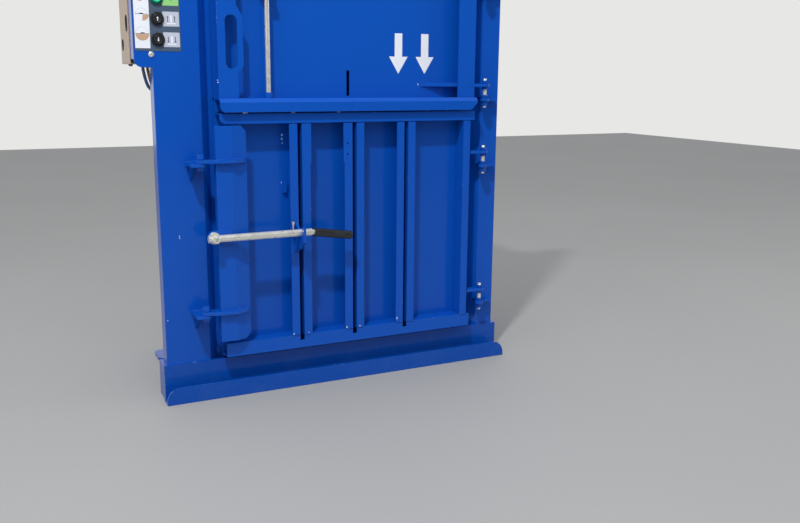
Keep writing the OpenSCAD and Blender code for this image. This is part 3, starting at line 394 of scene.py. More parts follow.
# Press cylinder, platen and roof
#
# The roof plate and two channels carry a hydraulic cylinder that hangs through a bolted flange.
# The rod is hard chromed, and the platen slides between white nylon shoes.

def as_mesh(name, form, sharp=35):
    bmesh.ops.recalc_face_normals(form, faces=form.faces)
    mesh = bpy.data.meshes.new(name)
    form.to_mesh(mesh)
    form.free()
    mesh.shade_smooth()
    mesh.set_sharp_from_angle(angle=math.radians(sharp))
    return mesh


def piece(name, mesh, finish, body, slot, *replaced):
    mesh.materials.append(finish)
    made = bpy.data.objects.new(name, mesh)
    bpy.context.scene.collection.objects.link(made)
    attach(made, body)
    if replaced:
        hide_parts(*replaced)
    return made


def turned(form, profile, place, along=(0, 0, 1), sides=48):
    """Adds a round shape from a profile of (radius, height) points, its height along an axis."""
    turn = Vector((0, 0, 1)).rotation_difference(Vector(along)).to_matrix()
    rings = []
    for radius, height in profile:
        count = sides if radius > 1e-6 else 1
        rings.append([form.verts.new(Vector(place) + turn @ Vector((
            radius * math.cos(2 * math.pi * k / sides), radius * math.sin(2 * math.pi * k / sides),
            height))) for k in range(count)])
    for low, high in zip(rings, rings[1:]):
        for k in range(sides):
            corners = [low[k % len(low)], low[(k + 1) % len(low)],
                high[(k + 1) % len(high)], high[k % len(high)]]
            unique = list(dict.fromkeys(corners))
            if len(unique) > 2:
                form.faces.new(unique)
    return form


def hexed(form, across, height, place, along=(0, 0, 1), spin=0.0, sides=36):
    """Adds a hexagon nut or head whose corners are cut by a 30 degree chamfer at both ends."""
    turn = Vector((0, 0, 1)).rotation_difference(Vector(along)).to_matrix()
    inner = across / 2 * 0.97
    rings = []
    for end in range(4):
        ring = []
        for k in range(sides):
            angle = 2 * math.pi * k / sides
            reach = across / 2 / math.cos((angle + math.pi / 6) % (math.pi / 3) - math.pi / 6)
            chamfer = (reach - inner) * math.tan(math.radians(30))
            radius = inner if end in (0, 3) else reach
            level = (0, chamfer, height - chamfer, height)[end]
            ring.append(form.verts.new(Vector(place) + turn @ Vector((
                radius * math.cos(angle + spin), radius * math.sin(angle + spin), level))))
        rings.append(ring)
    for low, high in zip(rings, rings[1:]):
        for k in range(sides):
            form.faces.new((low[k], low[(k + 1) % sides], high[(k + 1) % sides], high[k]))
    form.faces.new(rings[0])
    form.faces.new(rings[-1])
    return form


def bolted(form, place, washer, thick, across, height, spin, sides):
    """Adds a washer and the hexagon head of a bolt on it, standing up from a place."""
    turned(form, [(0, 0), (washer, 0), (washer, thick), (0, thick)], place, sides=sides)
    hexed(form, across, height, place + Vector((0, 0, thick)), spin=spin)


def galvanised(name, dark, light, rough=0.25, spangle=90):
    zinc = Finish(name)
    cells = zinc.node("ShaderNodeTexVoronoi", {}, {"Vector": zinc.place, "Scale": spangle}, out="Color")
    cell = zinc.node("ShaderNodeSeparateColor", {}, {0: cells})
    cloud = zinc.noise(16, 3)
    grime = zinc.step(zinc.noise(40, 5, 0.7), 0.62, 0.75) * 0.35
    colour = zinc.mix(0.4 * cell + 0.6 * cloud, dark, light)
    return zinc.surface({"Base Color": zinc.mix(grime, colour, (0.2, 0.19, 0.17, 1)), "Metallic": 0.6,
        "Roughness": rough + 0.12 * cell + 0.3 * grime, "Normal": zinc.bump(cloud, 0.0003)})


bright_zinc = galvanised("galvanised_bright", (0.76, 0.75, 0.68, 1), (0.9, 0.89, 0.82, 1))
dull_zinc = galvanised("galvanised_dull", (0.3, 0.33, 0.38, 1), (0.46, 0.5, 0.56, 1), rough=0.34, spangle=140)

chrome = Finish("hard_chrome")
honed = chrome.noise(50, 3, 0.6, chrome.stretched(6, 6, 0.2))
chromed = chrome.surface({"Base Color": chrome.mix(honed, (0.68, 0.69, 0.7, 1), (0.76, 0.77, 0.78, 1)),
    "Metallic": 1, "Roughness": 0.07 + 0.08 * honed})

nylon = Finish("white_nylon")
sawn = nylon.noise(80, 4)
nylon_white = nylon.surface({"Base Color": nylon.mix(sawn, (0.66, 0.65, 0.6, 1), (0.76, 0.75, 0.71, 1)),
    "Roughness": 0.4 + 0.2 * sawn, "Normal": nylon.bump(sawn, 0.0002)})

dressed(frame_paint, "top_beams", "roof_plate", "cylinder_flange", "cylinder_barrel", "cylinder_cap",
    "cable_duct")
dressed(chamber_paint, "platen")
dressed(chromed, "cylinder_gland", "piston_rod")
dressed(nylon_white, "platen_shoes")


def middle(node):
    """The middle of a CAD node's box."""
    low, high = (Vector(corner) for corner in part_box(node))
    return (low + high) / 2


FLANGE_MIDDLE = middle("cylinder_flange")
FLANGE_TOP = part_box("cylinder_flange")[1][2]
BOLT_REACH = 0.07254
bolt_ring = bmesh.new()
for x, y in ((-1, -1), (1, -1), (1, 1), (-1, 1)):
    place = Vector((FLANGE_MIDDLE.x + x * BOLT_REACH, FLANGE_MIDDLE.y + y * BOLT_REACH, FLANGE_TOP))
    bolted(bolt_ring, place, washer=0.0115, thick=0.0025, across=0.019, height=0.008,
        spin=x * 0.702, sides=24)
piece("flange_bolts", as_mesh("flange_bolts", bolt_ring), dull_zinc, "frame", "galvanised")


# Power pack on the roof
#
# A folded steel tank carries the motor, the pump and the valve block under a bolted lid. Steel
# pipes with compression nuts lead to the two ports of the cylinder.

def plain_coat(name, dark, light, rough=0.4, grain=200, relief=0.0001):
    coat = Finish(name)
    cloud = coat.noise(12, 4)
    soil = coat.step(coat.noise(25, 6, 0.7), 0.6, 0.75) * 0.3
    worn = coat.edge(0.002) * 0.35
    colour = coat.mix(cloud, dark, light)
    colour = coat.mix(soil, colour, (0.09, 0.08, 0.07, 1))
    return coat.surface({"Base Color": coat.mix(worn, colour, (0.5, 0.5, 0.5, 1)),
        "Roughness": rough + 0.15 * cloud + 0.2 * soil,
        "Normal": coat.bump(coat.noise(grain, 2), relief, coat.soft_edge(0.0012))})


tank_paint = plain_coat("tank_grey", (0.075, 0.085, 0.095, 1), (0.1, 0.11, 0.12, 1))
cast_paint = plain_coat("cast_grey", (0.1, 0.11, 0.12, 1), (0.15, 0.16, 0.17, 1), rough=0.5, grain=420,
    relief=0.0003)
block_metal = galvanised("valve_metal", (0.45, 0.45, 0.44, 1), (0.6, 0.6, 0.58, 1), rough=0.34, spangle=30)
dressed(tank_paint, "oil_tank", "tank_lid")
dressed(cast_paint, "motor")
dressed(block_metal, "valve_block")
dressed(bright_zinc, "pipes")

low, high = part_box("tank_lid")
LID_TOP = low[2] + 0.008
LID_INSET = 0.014
lid_bolts = bmesh.new()
for x in (low[0] + LID_INSET, (low[0] + high[0]) / 2, high[0] - LID_INSET):
    for y in (low[1] + LID_INSET, high[1] - LID_INSET):
        bolted(lid_bolts, Vector((x, y, LID_TOP)), washer=0.009, thick=0.0016, across=0.013, height=0.0055,
            spin=x * 7 + y, sides=20)
piece("lid_bolts", as_mesh("lid_bolts", lid_bolts), dull_zinc, "frame", "galvanised")

# The fan cover on the motor has a grille of short ribs round its middle.

slat_tree, given = tree_of("fan_grille", {"Radius": "Float", "Slats": "Int", "Slat Size": "Vector",
    "Place": "Vector", "Finish": "Material"})
ring_of_slats = add_node(slat_tree, "GeometryNodeMeshCircle", {},
    {"Vertices": given["Slats"], "Radius": given["Radius"]})
slat = add_node(slat_tree, "GeometryNodeMeshCube", {}, {"Size": given["Slat Size"]})
outward = add_node(slat_tree, "FunctionNodeAlignRotationToVector", {"axis": "X"},
    {"Vector": add_node(slat_tree, "GeometryNodeInputPosition").outputs[0]})
around = add_node(slat_tree, "GeometryNodeInstanceOnPoints", {}, {0: ring_of_slats.outputs[0],
    "Instance": slat.outputs[0], "Rotation": outward.outputs[0]})
seated = add_node(slat_tree, "GeometryNodeTransform", {},
    {0: around.outputs[0], "Translation": given["Place"]})
made_real(slat_tree, seated.outputs[0], given["Finish"], smooth=False)
MOTOR_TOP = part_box("motor")[1][2]
grille_black = plain_coat("grille_black", (0.02, 0.02, 0.02, 1), (0.03, 0.03, 0.03, 1))
grown("fan_grille", bpy.data.meshes.new("fan_grille"), slat_tree, {"Radius": 0.045, "Slats": 26,
    "Slat Size": (0.034, 0.0028, 0.0012), "Place": (-0.206, -0.030, MOTOR_TOP + 0.0003),
    "Finish": grille_black}, "frame")


# Lower door and upper door
#
# Each door is a skin with folded flanges, rails and ribs, and gaps between the ribs for the
# strapping. Blue coated as the frame, with small pale spots at the feet of the ribs.

door_paint = blue_paint("blue_paint_door", chips=0.15, dust=0.35)
dressed(door_paint, "lower_door_panel", "lower_door_rails", "lower_door_ribs", "lower_door_straps",
    "upper_door_panel", "upper_door_rails", "upper_door_straps", "rod_guides", "keeper")

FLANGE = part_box("lower_door_ribs")[0][1]
RIB_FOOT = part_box("lower_door_ribs")[0][2]
STRAPPING_GAPS = (-0.154, 0.022, 0.198)
LOWER_STRAPS, UPPER_STRAPS = (0.236, 0.700), (0.914, 1.260)
feet = [(x + side * 0.009, x + side * 0.029) for x in STRAPPING_GAPS for side in (-1, 1)] + [(0.408, 0.428)]
weld("welds_lower_door", [[(x, FLANGE - OFF, RIB_FOOT + OFF) for x in foot] for foot in feet],
    "lower_door", 0.0024, door_paint)
weld("welds_upper_door", [[(0.272, FACE, z + dz), (0.436, FACE, z + dz)]
    for z in UPPER_STRAPS for dz in (-OFF, PLATE + OFF)], "upper_door", 0.0026, door_paint)

# Small pale spots lie on the paint. Each is a thin ragged flake on the surface.

pale_spot_tree, given = tree_of("pale_spots", {"Size": "Float", "Depth": "Float", "Seed": "Int",
    "Finish": "Material"})
flake = add_node(pale_spot_tree, "GeometryNodeMeshCylinder", {"fill_type": "NGON"},
    {"Vertices": 9, "Radius": given["Size"], "Depth": given["Depth"]})
jag = add_node(pale_spot_tree, "FunctionNodeRandomValue", {"data_type": "FLOAT_VECTOR"},
    {0: (-0.0007, -0.0007, 0), 1: (0.0007, 0.0007, 0), "Seed": 3})
ragged = add_node(pale_spot_tree, "GeometryNodeSetPosition", {}, {0: flake.outputs[0], "Offset": jag.outputs[0]})
faced = add_node(pale_spot_tree, "GeometryNodeTransform", {},
    {0: ragged.outputs[0], "Rotation": (math.pi / 2, 0, 0)})
stretch = add_node(pale_spot_tree, "FunctionNodeRandomValue", {"data_type": "FLOAT_VECTOR"},
    {0: (0.5, 1, 0.6), 1: (1.1, 1, 1.9), "Seed": given["Seed"]})
tilt = add_node(pale_spot_tree, "FunctionNodeRandomValue", {"data_type": "FLOAT_VECTOR"},
    {0: (0, -0.5, 0), 1: (0, 0.5, 0), "Seed": given["Seed"]})
strewn = add_node(pale_spot_tree, "GeometryNodeInstanceOnPoints", {}, {0: given["Geometry"],
    "Instance": faced.outputs[0], "Rotation": tilt.outputs[0], "Scale": stretch.outputs[0]})
made_real(pale_spot_tree, strewn.outputs[0], given["Finish"], smooth=False)

spot_coat = Finish("pale_spot_finish")
patchy = spot_coat.noise(300, 3)
pale_spot_finish = spot_coat.surface({"Roughness": 0.5 + 0.2 * patchy,
    "Base Color": spot_coat.mix(patchy, (0.5, 0.56, 0.64, 1), (0.8, 0.83, 0.86, 1))})


def spotted(name, places, body, size, seed):
    """Pale spots of about one size at the given places."""
    start = bpy.data.meshes.new(name)
    start.from_pydata(places, [], [])
    values = {"Size": size, "Depth": 0.0002, "Seed": seed, "Finish": pale_spot_finish}
    grown(name, start, pale_spot_tree, values, body)


SKIN, RIBS = FACE - 0.0002, FLANGE - 0.0003
spotted("pale_spots_lower_door", [(-0.192, SKIN, 0.772), (-0.1925, SKIN, 0.760), (-0.1915, SKIN, 0.748),
    (-0.197, SKIN, 0.630)], "lower_door", 0.0018, 1)
spotted("pale_spots_rib_feet", [(-0.182, RIBS, 0.1675), (-0.133, RIBS, 0.165), (-0.006, RIBS, 0.168),
    (0.039, RIBS, 0.166), (0.170, RIBS, 0.177)], "lower_door", 0.0022, 3)
spotted("pale_spots_upper_door", [(-0.3935, RIBS, 0.931), (-0.3925, RIBS, 0.925), (0.262, SKIN, 0.921)],
    "upper_door", 0.002, 5)
spotted("pale_spots_frame", [(-0.507, SKIN, 0.489), (-0.507, SKIN, 0.483), (-0.552, SKIN, 0.241)],
    "frame", 0.0013, 9)

# Two plain arrows are printed in white on the upper door where the press comes down.

FILM = 0.00007


def slab(form, near, far):
    """Adds a thin closed solid between two outlines of (x, y, z) points."""
    near, far = ([form.verts.new(spot) for spot in outline] for outline in (near, far))
    form.faces.new(near)
    form.faces.new(far[::-1])
    for k in range(len(near)):
        form.faces.new((near[k], near[k - 1], far[k - 1], far[k]))


def film(name, shapes, y, finish, body, slot):
    """Thin printed shapes that face forward at y, each an outline of (x, z) points."""
    form = bmesh.new()
    for shape in shapes:
        slab(form, [(x, y, z) for x, z in shape], [(x, y + FILM, z) for x, z in shape])
    form.normal_update()
    bmesh.ops.triangulate(form, faces=form.faces, ngon_method="EAR_CLIP")
    bmesh.ops.recalc_face_normals(form, faces=form.faces)
    mesh = bpy.data.meshes.new(name)
    form.to_mesh(mesh)
    form.free()
    return piece(name, mesh, finish, body, slot)


def arrow(x, z, length, shaft, head, way):
    """An arrow along Z round (x, z), up with way 1 and down with way -1."""
    tip, neck, tail = z + way * length / 2, z + way * (length / 2 - head), z - way * length / 2
    return [(x, tip), (x + head * 0.62, neck), (x + shaft / 2, neck), (x + shaft / 2, tail),
        (x - shaft / 2, tail), (x - shaft / 2, neck), (x - head * 0.62, neck)]


def disc(x, z, radius, start=0, end=360, steps=32):
    """A disc, or with two angles in degrees the arc between them."""
    turns = [math.radians(start + (end - start) * k / steps) for k in range(steps + (end - start < 360))]
    return [(x + radius * math.cos(a), z + radius * math.sin(a)) for a in turns]


def bar(x0, z0, x1, z1):
    """A rectangle between two opposite corners."""
    return [(x0, z0), (x1, z0), (x1, z1), (x0, z1)]


def print_film(name, dark, light, rough=0.35):
    ink = Finish(name)
    tint = ink.noise(14, 4)
    return ink.surface({"Base Color": ink.mix(tint, dark, light), "Roughness": rough + 0.12 * tint,
        "Specular IOR Level": 0.3})


white_film = print_film("white_film", (0.76, 0.8, 0.88, 1), (0.84, 0.87, 0.93, 1))
door_arrows = [arrow(x, 1.014, length=0.122, shaft=0.026, head=0.052, way=-1) for x in (0.192, 0.284)]
film("door_arrows", door_arrows, FACE - 0.0001, white_film, "upper_door", "panel_film")


# Hinges on the right column
#
# A long bolt stands in each pair of bracket and strap, with nuts on both sides of them. The bolts
# are galvanised, and the nuts were coated with the frame.

dressed(frame_paint, "hinge_brackets")


def thread(form, radius, low, high, place, pitch=0.002):
    """A rolled thread, drawn as close rings along Z."""
    profile, level = [(0, low), (radius * 0.9, low)], low + pitch / 2
    while level < high - pitch:
        profile += [(radius, level), (radius * 0.9, level + pitch / 2)]
        level += pitch
    return turned(form, profile + [(radius * 0.85, high), (0, high)], place, sides=24)


# The level and the height of the four nuts on each bolt.

HINGE_X, HINGE_Y = 0.485, -0.230
NUTS = ((-0.060, 0.0137), (-0.0357, 0.010), (-0.0083, 0.008), (0.0103, 0.009))
hinge_form, nut_form = bmesh.new(), bmesh.new()
for strap_z in LOWER_STRAPS + UPPER_STRAPS:
    place = Vector((HINGE_X, HINGE_Y, strap_z))
    thread(hinge_form, 0.006, -0.066, 0.026, place)
    turned(hinge_form, [(0, -0.034), (0.00605, -0.034), (0.00605, -0.010), (0, -0.010)], place, sides=24)
    for level, tall in NUTS:
        hexed(nut_form, 0.018, tall, place + Vector((0, 0, level)), spin=strap_z * 11 + level * 90)
piece("hinge_bolt_sets", as_mesh("hinge_bolt_sets", hinge_form, 30), bright_zinc, "frame", "galvanised",
    "hinge_bolts")
piece("hinge_nuts", as_mesh("hinge_nuts", nut_form, 30), base_paint, "frame", "blue_paint")


# Clamp bar, its arms and their pins
#
# A folded bar holds the lower door shut. Two arms swing it on pins in brackets that are welded to
# the left column, and all of it is coated blue, pins and nuts too.

dressed(door_paint, "clamp_bar", "clamp_arms")
dressed(frame_paint, "lock_brackets", "lock_pins")
ARMS = (0.262, 0.702)
ARM_FACE = FACE - 0.0755
arms = [[(-0.411, ARM_FACE, level), (-0.366, ARM_FACE, level), (-0.324, ARM_FACE + 0.015, level)]
    for z in ARMS for level in (z - 0.001, z + PLATE + OFF)]
lugs = [[(-0.4125, ARM_FACE, z), (-0.376, ARM_FACE, z)] for z in (0.4695, 0.5125)]
weld("welds_clamp_bar", arms + lugs, "clamp_bar", 0.0026, door_paint)

# The arms lie on their brackets, and a hinge's bracket starts 46 mm below its strap.

pin_brackets = [[(-0.480, FACE, z), (-0.437, FACE, z)]
    for top in ARMS for z in (top - PLATE - OFF, top + OFF)]
hinge_brackets = [[(0.502, FACE, z), (0.538, FACE, z)] for foot in LOWER_STRAPS + UPPER_STRAPS
    for z in (foot - 0.046 - OFF, foot - 0.046 + PLATE + OFF)]
weld("welds_brackets", pin_brackets + hinge_brackets, "frame", 0.0026)


# Lever
#
# A galvanised tube turns on a bolt through the clamp bar. A bent rod in its end carries a black
# rubber grip with fine flutes, and a hook on the door keeps the lever down.

dressed(bright_zinc, "lever_tube", "lever_rod", "keeper_pin")

FORWARD = Vector((0, -1, 0))
LEVER_Z = 0.491
bolt = Vector((-0.427, FACE - 0.083, LEVER_Z))
SHANK = [(0, -0.0168), (0.005, -0.0168), (0.006, -0.0158), (0.006, 0.026), (0, 0.026)]
INNER_WASHER = [(0.0058, 0), (0.0165, 0), (0.017, 0.0005), (0.017, 0.0025), (0.0165, 0.003), (0.0058, 0.003),
    (0.0058, 0)]
OUTER_WASHER = [(0.0055, 0.0249), (0.0115, 0.0249), (0.012, 0.0254), (0.012, 0.0269), (0.0115, 0.0274),
    (0.0055, 0.0274), (0.0055, 0.0249)]
HEAD_MARK = [(0, 0.034), (0.0052, 0.034), (0.0052, 0.0346), (0.0045, 0.0349), (0, 0.0349)]
HEAD_BASE, NUT_BACK = 0.0274, -0.0158
lever_bolt = bmesh.new()
turned(lever_bolt, SHANK, bolt, FORWARD, 32)
turned(lever_bolt, INNER_WASHER, bolt, FORWARD, 48)
turned(lever_bolt, OUTER_WASHER, bolt, FORWARD, 40)
hexed(lever_bolt, 0.018, 0.0075, bolt + FORWARD * HEAD_BASE, FORWARD, spin=0.2)
turned(lever_bolt, HEAD_MARK, bolt, FORWARD, 24)
hexed(lever_bolt, 0.018, 0.0078, bolt + FORWARD * NUT_BACK, FORWARD, spin=0.4)
piece("lever_bolt_set", as_mesh("lever_bolt_set", lever_bolt, 30), bright_zinc, "clamp_bar", "galvanised",
    "lever_bolt")

rubber = Finish("black_rubber")
bloom = rubber.noise(30, 4)
handled = rubber.step(rubber.noise(9, 3, 0.5, rubber.stretched(1, 3, 3)), 0.45, 0.7)
black_rubber = rubber.surface({"Base Color": rubber.mix(bloom * handled, (0.018, 0.02, 0.022, 1),
    (0.05, 0.055, 0.06, 1)), "Roughness": 0.26 + 0.16 * handled,
    "Normal": rubber.bump(rubber.noise(260, 3), 0.00012)})

FALL = math.radians(8.2)
way = Vector((math.cos(FALL), 0, -math.sin(FALL)))
side, up = Vector((0, 1, 0)), way.cross(Vector((0, 1, 0)))
knee = Vector((-0.137, FACE - 0.09695, LEVER_Z))

# The sleeve's radius at each distance from the knee of the rod, with a 1 where it is fluted.

SLEEVE = ((0.006, 0.0082, 0), (0.006, 0.0112, 0), (0.0068, 0.0124, 0), (0.009, 0.013, 0),
    (0.013, 0.013, 0), (0.016, 0.0127, 1), (0.04, 0.0126, 1), (0.07, 0.0127, 1), (0.1, 0.0126, 1),
    (0.113, 0.0128, 1), (0.117, 0.013, 0), (0.122, 0.013, 0), (0.1265, 0.0122, 0), (0.1295, 0.0103, 0),
    (0.1307, 0.0075, 0), (0.131, 0.004, 0))
FLUTES, FLUTE_DEPTH, SIDES = 16, 0.0004, 96
grip = bmesh.new()
rings = []
for level, radius, fluted in SLEEVE:
    ring = []
    for k in range(SIDES):
        angle = 2 * math.pi * k / SIDES
        deep = FLUTE_DEPTH * fluted * (0.5 + 0.5 * math.cos(angle * FLUTES)) ** 3
        ring.append(grip.verts.new(knee + way * level + (radius - deep)
            * (math.cos(angle) * side + math.sin(angle) * up)))
    rings.append(ring)
for inner, outer in zip(rings, rings[1:]):
    for k in range(SIDES):
        grip.faces.new((inner[k], inner[(k + 1) % SIDES], outer[(k + 1) % SIDES], outer[k]))
grip.faces.new(rings[-1])
grip.faces.new(rings[0][::-1])
piece("grip_sleeve", as_mesh("grip_sleeve", grip, 40), black_rubber, "lever", "black_rubber", "lever_grip")


# Lock rod on the upper door
#
# A galvanised steel rod locks the upper door. It slides in a welded ring and a guide, and its knob
# lifts its foot out of the rail.

dressed(bright_zinc, "lock_rod")


# Control box behind the ear
#
# A moulded beige plastic box sits on a rubber gasket behind the ear. It has a lid seam, corner
# screws, black glands and, on its left side, three knock-outs. They are given as y, z, width and
# height.

KNOCK_OUTS = ((-0.117, 1.083, 0.030, 0.044), (-0.045, 1.026, 0.028, 0.030), (-0.117, 1.180, 0.030, 0.044))
low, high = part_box("control_box")
RECESS_X = low[0] + 0.002


def moulded(name, dark, light, rough=0.42, openings=()):
    """A fine-grained plastic. Inside any openings it has, and in a thin rim round them, it is painted dark:
    painted shade in the openings, a grommet on the rim.
    """
    plastic = Finish(name)
    tint = plastic.noise(7, 3)
    dirt = plastic.step(plastic.noise(30, 5, 0.7), 0.64, 0.8) * 0.25
    colour = plastic.mix(tint, dark, light)
    # Painted shade: each opening is dark inside, and a thin rim round it, which stands for a grommet, is dark
    # too.
    for y, z, wide, tall in openings:
        away = plastic.node("ShaderNodeVectorMath", {"operation": "SUBTRACT"},
            {0: plastic.place, 1: (RECESS_X, y, z)})
        shares = plastic.node("ShaderNodeVectorMath", {"operation": "MULTIPLY"},
            {0: away, 1: (1 / 0.006, 1 / (wide / 2 + 0.002), 1 / (tall / 2 + 0.002))})
        parts = [plastic.node("ShaderNodeSeparateXYZ", {}, {0: shares}, out=axis) for axis in range(3)]
        deep, across, upward = (part * part for part in parts)
        opening_shade_and_rim = plastic.step(deep, 1, 0.98) * plastic.step(across + upward * upward, 1, 0.9)
        colour = plastic.mix(opening_shade_and_rim, colour, (0.02, 0.02, 0.022, 1))
    return plastic.surface({"Base Color": plastic.mix(dirt, colour, (0.12, 0.1, 0.08, 1)),
        "Roughness": rough + 0.12 * tint + 0.2 * dirt,
        "Normal": plastic.bump(plastic.noise(500, 2), 0.00008, plastic.soft_edge(0.0015))})


beige = moulded("beige_plastic", (0.46, 0.36, 0.27, 1), (0.53, 0.43, 0.33, 1), openings=KNOCK_OUTS)
black_plastic = moulded("black_plastic", (0.012, 0.013, 0.015, 1), (0.022, 0.023, 0.026, 1), rough=0.32)
dressed(beige, "control_box")
dressed(moulded("gasket_rubber", (0.01, 0.01, 0.01, 1), (0.02, 0.02, 0.02, 1), rough=0.6), "box_gasket")
BACKWARD, DOWNWARD = (0, 1, 0), (0, 0, -1)
SCREW_INSET = 0.012
SCREW_HEAD = [(0, 0), (0.0055, 0), (0.0052, 0.0014), (0.003, 0.0026), (0.0022, 0.0027), (0.0022, 0.0012),
    (0, 0.0012)]
box_screws = bmesh.new()
for x in (low[0] + SCREW_INSET, high[0] - SCREW_INSET):
    for z in (low[2] + SCREW_INSET, high[2] - SCREW_INSET):
        turned(box_screws, SCREW_HEAD, (x, high[1], z), BACKWARD, 20)
piece("box_screws", as_mesh("box_screws", box_screws), dull_zinc, "frame", "galvanised")

# Dark sheets just inside the knock-outs stand in for the shade inside the box, and a plug sits in the box's
# underside.

SHADE_SHEET_X, SHADE_SHEET_THICK = low[0] + 0.0034, 0.0005
shade_sheets = bmesh.new()
for y, z, wide, tall in KNOCK_OUTS:
    radius = wide / 2 * 0.97
    outline = []
    for k in range(32):
        angle = 2 * math.pi * (k + 0.5) / 32
        lift = (tall - wide) / 2 * (1 if math.sin(angle) > 0 else -1)
        outline.append((y - radius * math.cos(angle), z + lift + radius * math.sin(angle)))
    slab(shade_sheets, [(SHADE_SHEET_X, *spot) for spot in outline], [(SHADE_SHEET_X + SHADE_SHEET_THICK, *spot) for spot in outline])
piece("box_shade_sheets", as_mesh("box_shade_sheets", shade_sheets), black_plastic, "frame", "black_plastic")
PLUG = [(0, 0), (0.0062, 0), (0.0062, 0.0025), (0.0054, 0.0045), (0.0034, 0.006), (0, 0.0065)]
grey_plastic = moulded("grey_plastic", (0.11, 0.1, 0.09, 1), (0.15, 0.14, 0.13, 1))
plug = turned(bmesh.new(), PLUG, (-0.603, -0.100, BOX_BOTTOM), DOWNWARD, 32)
piece("box_plug", as_mesh("box_plug", plug), grey_plastic, "frame", "black_plastic")

GLAND_CAP = [(0, 0.0045), (0.0069, 0.0045), (0.0069, 0.0062), (0.0064, 0.0074), (0.0052, 0.008), (0, 0.008)]
glands = bmesh.new()
for place in (SUPPLY_GLAND, CONTROL_GLAND):
    hexed(glands, 0.016, 0.005, place, DOWNWARD, spin=place.x * 3)
    turned(glands, GLAND_CAP, place, DOWNWARD, 32)
piece("gland_nuts", as_mesh("gland_nuts", glands), black_plastic, "frame", "black_plastic", "cable_glands")


# Controls on the ear
#
# A printed film on the ear carries the push buttons. The lit green one starts the press, and the
# two with arrows, in black collars, raise and lower the platen. Above them are the stop button and
# the main switch.

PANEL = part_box("overlay_panel")[0][1]
BUTTON_X = middle("start_button").x
grey_film = print_film("grey_film", (0.062, 0.095, 0.155, 1), (0.075, 0.112, 0.178, 1), 0.42)
dressed(grey_film, "overlay_panel")
label = print_film("label_film", (0.5, 0.54, 0.65, 1), (0.56, 0.59, 0.69, 1))
green_print = print_film("green_film", (0.27, 0.62, 0.19, 1), (0.33, 0.7, 0.25, 1))
dark_print = print_film("dark_film", (0.02, 0.03, 0.05, 1), (0.035, 0.045, 0.07, 1))
tan_print = print_film("tan_film", (0.5, 0.33, 0.2, 1), (0.6, 0.38, 0.27, 1))
faint_print = print_film("faint_film", (0.5, 0.54, 0.6, 1), (0.56, 0.6, 0.66, 1))
DOWN_Z, UP_Z, START_Z, STOP_Z = (middle(node + "_button").z for node in ("down", "up", "start", "stop"))
FIELD_L, FIELD_R, HALF_FIELD = -0.527, -0.4825, 0.0195
LAYER = 0.00008


def printed(name, shapes, layer, finish):
    """Shapes printed on the film. A higher layer lies in front of a lower one."""
    film(name, shapes, PANEL - LAYER * layer, finish, "frame", "panel_film")


def field(z):
    return bar(FIELD_L, z - HALF_FIELD, FIELD_R, z + HALF_FIELD)


printed("print_strip", [bar(-0.6035, 1.015, -0.563, 1.234)], 1, white_film)
printed("print_labels", [field(DOWN_Z), field(UP_Z)], 1, label)
printed("print_start", [field(START_Z)], 1, green_print)
printed("print_stop", [field(STOP_Z)], 1, label)

# Each label of a button with an arrow shows a white ram and plate between two dark arrows.

whites = []
for z in (DOWN_Z, UP_Z):
    ram = bar(-0.5065, z - 0.009, -0.5015, z + 0.010)
    plate = bar(-0.516, z - 0.0135, -0.492, z - 0.0105)
    whites += [ram, plate]
printed("print_marks_white", whites, 2, white_film)
arrows = [arrow(x, z, length=0.0165, shaft=0.0017, head=0.0042, way=way) for x in (-0.5135, -0.4945)
    for z, way in ((DOWN_Z, -1), (UP_Z, 1))]
start_dot = disc(-0.503, START_Z, 0.0055)
stop_block = bar(-0.512, STOP_Z - 0.006, -0.494, STOP_Z + 0.006)
printed("print_marks_dark", arrows + [start_dot, stop_block], 3, dark_print)

# The white strip shows three half rings, each with a heap in its lower half and a bar across.

SIGN_X, LOW_SIGN, MID_SIGN, HIGH_SIGN = -0.583, 1.0535, 1.1046, 1.155
SMALL, LARGE, RING = 0.0165, 0.0185, 0.0009
SIGNS = ((MID_SIGN, SMALL), (LOW_SIGN, LARGE), (HIGH_SIGN, SMALL))
printed("print_rings", [disc(SIGN_X, z, radius, 0, 180, 20) + disc(SIGN_X, z, radius - RING, 0, 180, 20)[::-1]
    for z, radius in SIGNS], 2, faint_print)
right_heap = disc(SIGN_X + 0.0035, MID_SIGN, SMALL, 262, 358, 14) + [(SIGN_X + 0.0035, MID_SIGN - 0.0011)]
full_heap = disc(SIGN_X, LOW_SIGN, LARGE, 182, 358, 20)
left_heap = disc(SIGN_X, HIGH_SIGN, SMALL, 182, 278, 14) + [(SIGN_X, HIGH_SIGN - 0.001)]
printed("print_heaps", [right_heap, full_heap, left_heap], 2, tan_print)
bars = [bar(SIGN_X - radius, z, SIGN_X + radius, z + 0.001) for z, radius in SIGNS]
plates = [bar(SIGN_X + left, z + 0.001, SIGN_X + left + 0.010, z + 0.0033)
    for left, z in ((-0.004, LOW_SIGN), (-0.0055, MID_SIGN))]
printed("print_bars", bars + plates, 3, dark_print)

COLLAR = [(0.0134, 0), (0.0185, 0), (0.0185, 0.0034), (0.0175, 0.0048), (0.0168, 0.005), (0.0143, 0.005),
    (0.0134, 0.0042), (0.0134, 0)]
STOP_COLLAR = [(0.0092, 0), (0.0195, 0), (0.0195, 0.0036), (0.0185, 0.005), (0.0092, 0.005), (0.0092, 0)]


def collar(name, profile, heights, finish, slot, *replaced):
    form = bmesh.new()
    for z in heights:
        turned(form, profile, (BUTTON_X, PANEL, z), FORWARD)
    piece(name, as_mesh(name, form), finish, "frame", slot, *replaced)


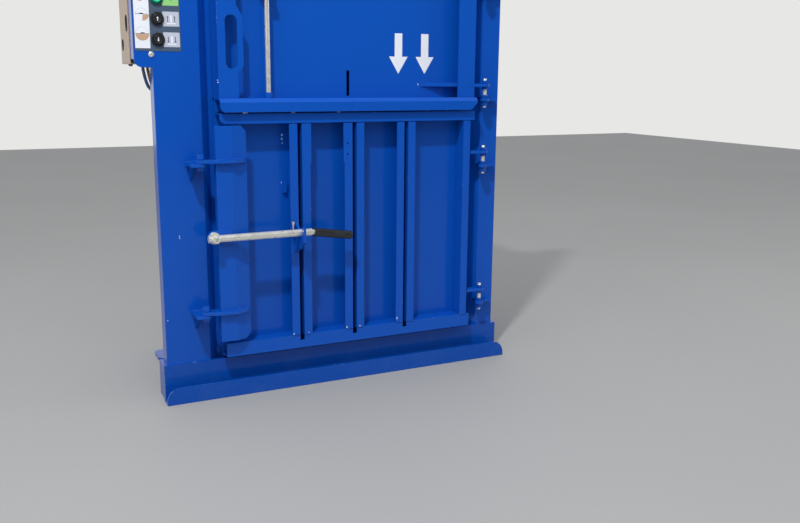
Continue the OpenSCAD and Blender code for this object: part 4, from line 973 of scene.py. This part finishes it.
yellow = moulded("yellow_plastic", (0.78, 0.52, 0.02, 1), (0.85, 0.58, 0.04, 1), rough=0.35)
dark_green = moulded("dark_green_plastic", (0.002, 0.08, 0.05, 1), (0.003, 0.13, 0.075, 1), rough=0.25)
collar("collars_black", COLLAR, (DOWN_Z, UP_Z), black_plastic, "black_plastic", "button_collars")
collar("collar_yellow", STOP_COLLAR, (STOP_Z,), yellow, "yellow_plastic")
collar("collar_green", COLLAR, (START_Z,), dark_green, "green_lens")


def button(node, z, finish, slot, dish):
    """The cap of a button, with a face that is set back inside its rim."""
    profile = [(0, 0), (0.013, 0), (0.013, 0.0082), (0.0124, 0.0088), (0.0115, 0.009), (0.0098, 0.009),
        (0.0092, 0.0086), (0.0086, dish), (0, dish - 0.0001)]
    form = turned(bmesh.new(), profile, (BUTTON_X, PANEL, z), FORWARD)
    return piece(node + "_cap", as_mesh(node + "_cap", form, 30), finish, node, slot, node)


for node, z, way in (("up_button", UP_Z, 1), ("down_button", DOWN_Z, -1)):
    button(node, z, black_plastic, "black_plastic", dish=0.0080)
    film(node + "_arrow", [arrow(BUTTON_X, z, length=0.0115, shaft=0.0020, head=0.0048, way=way)],
        PANEL - 0.0081, white_film, node, "panel_film")

lens_finish = Finish("green_lens")
offset = lens_finish.node("ShaderNodeVectorMath", {"operation": "SUBTRACT"},
    {0: lens_finish.place, 1: (BUTTON_X, PANEL - 0.009, START_Z)})
reach = lens_finish.node("ShaderNodeVectorMath", {"operation": "LENGTH"}, {0: offset}, out="Value")
glow = lens_finish.step(reach, 0.0125, 0.003)
green_lens = lens_finish.surface({"Roughness": 0.16 + 0.05 * glow, "Emission Strength": 0.5,
    "Base Color": lens_finish.mix(glow, (0.004, 0.28, 0.15, 1), (0.06, 0.75, 0.42, 1)),
    "Emission Color": lens_finish.mix(glow, (0.0, 0.12, 0.07, 1), (0.12, 0.95, 0.55, 1))})
button("start_button", START_Z, green_lens, "green_lens", dish=0.0092)

red = moulded("red_plastic", (0.5, 0.016, 0.012, 1), (0.58, 0.024, 0.018, 1), rough=0.28)
dressed(red, "stop_button", "main_switch")
dressed(yellow, "switch_plate")

PAN_HEAD = [(0, 0), (0.008, 0), (0.008, 0.0006), (0.0075, 0.0018), (0.0058, 0.0034), (0.0036, 0.0042),
    (0.0024, 0.0044), (0.0022, 0.0022), (0, 0.0022)]
heads = bmesh.new()
for x, z in ((-0.562, 0.999), (-0.590, 1.308), (-0.510, 1.308)):
    turned(heads, PAN_HEAD, (x, FACE, z), FORWARD, 36)
piece("panel_screw_heads", as_mesh("panel_screw_heads", heads, 40), bright_zinc, "frame", "galvanised",
    "panel_screws")
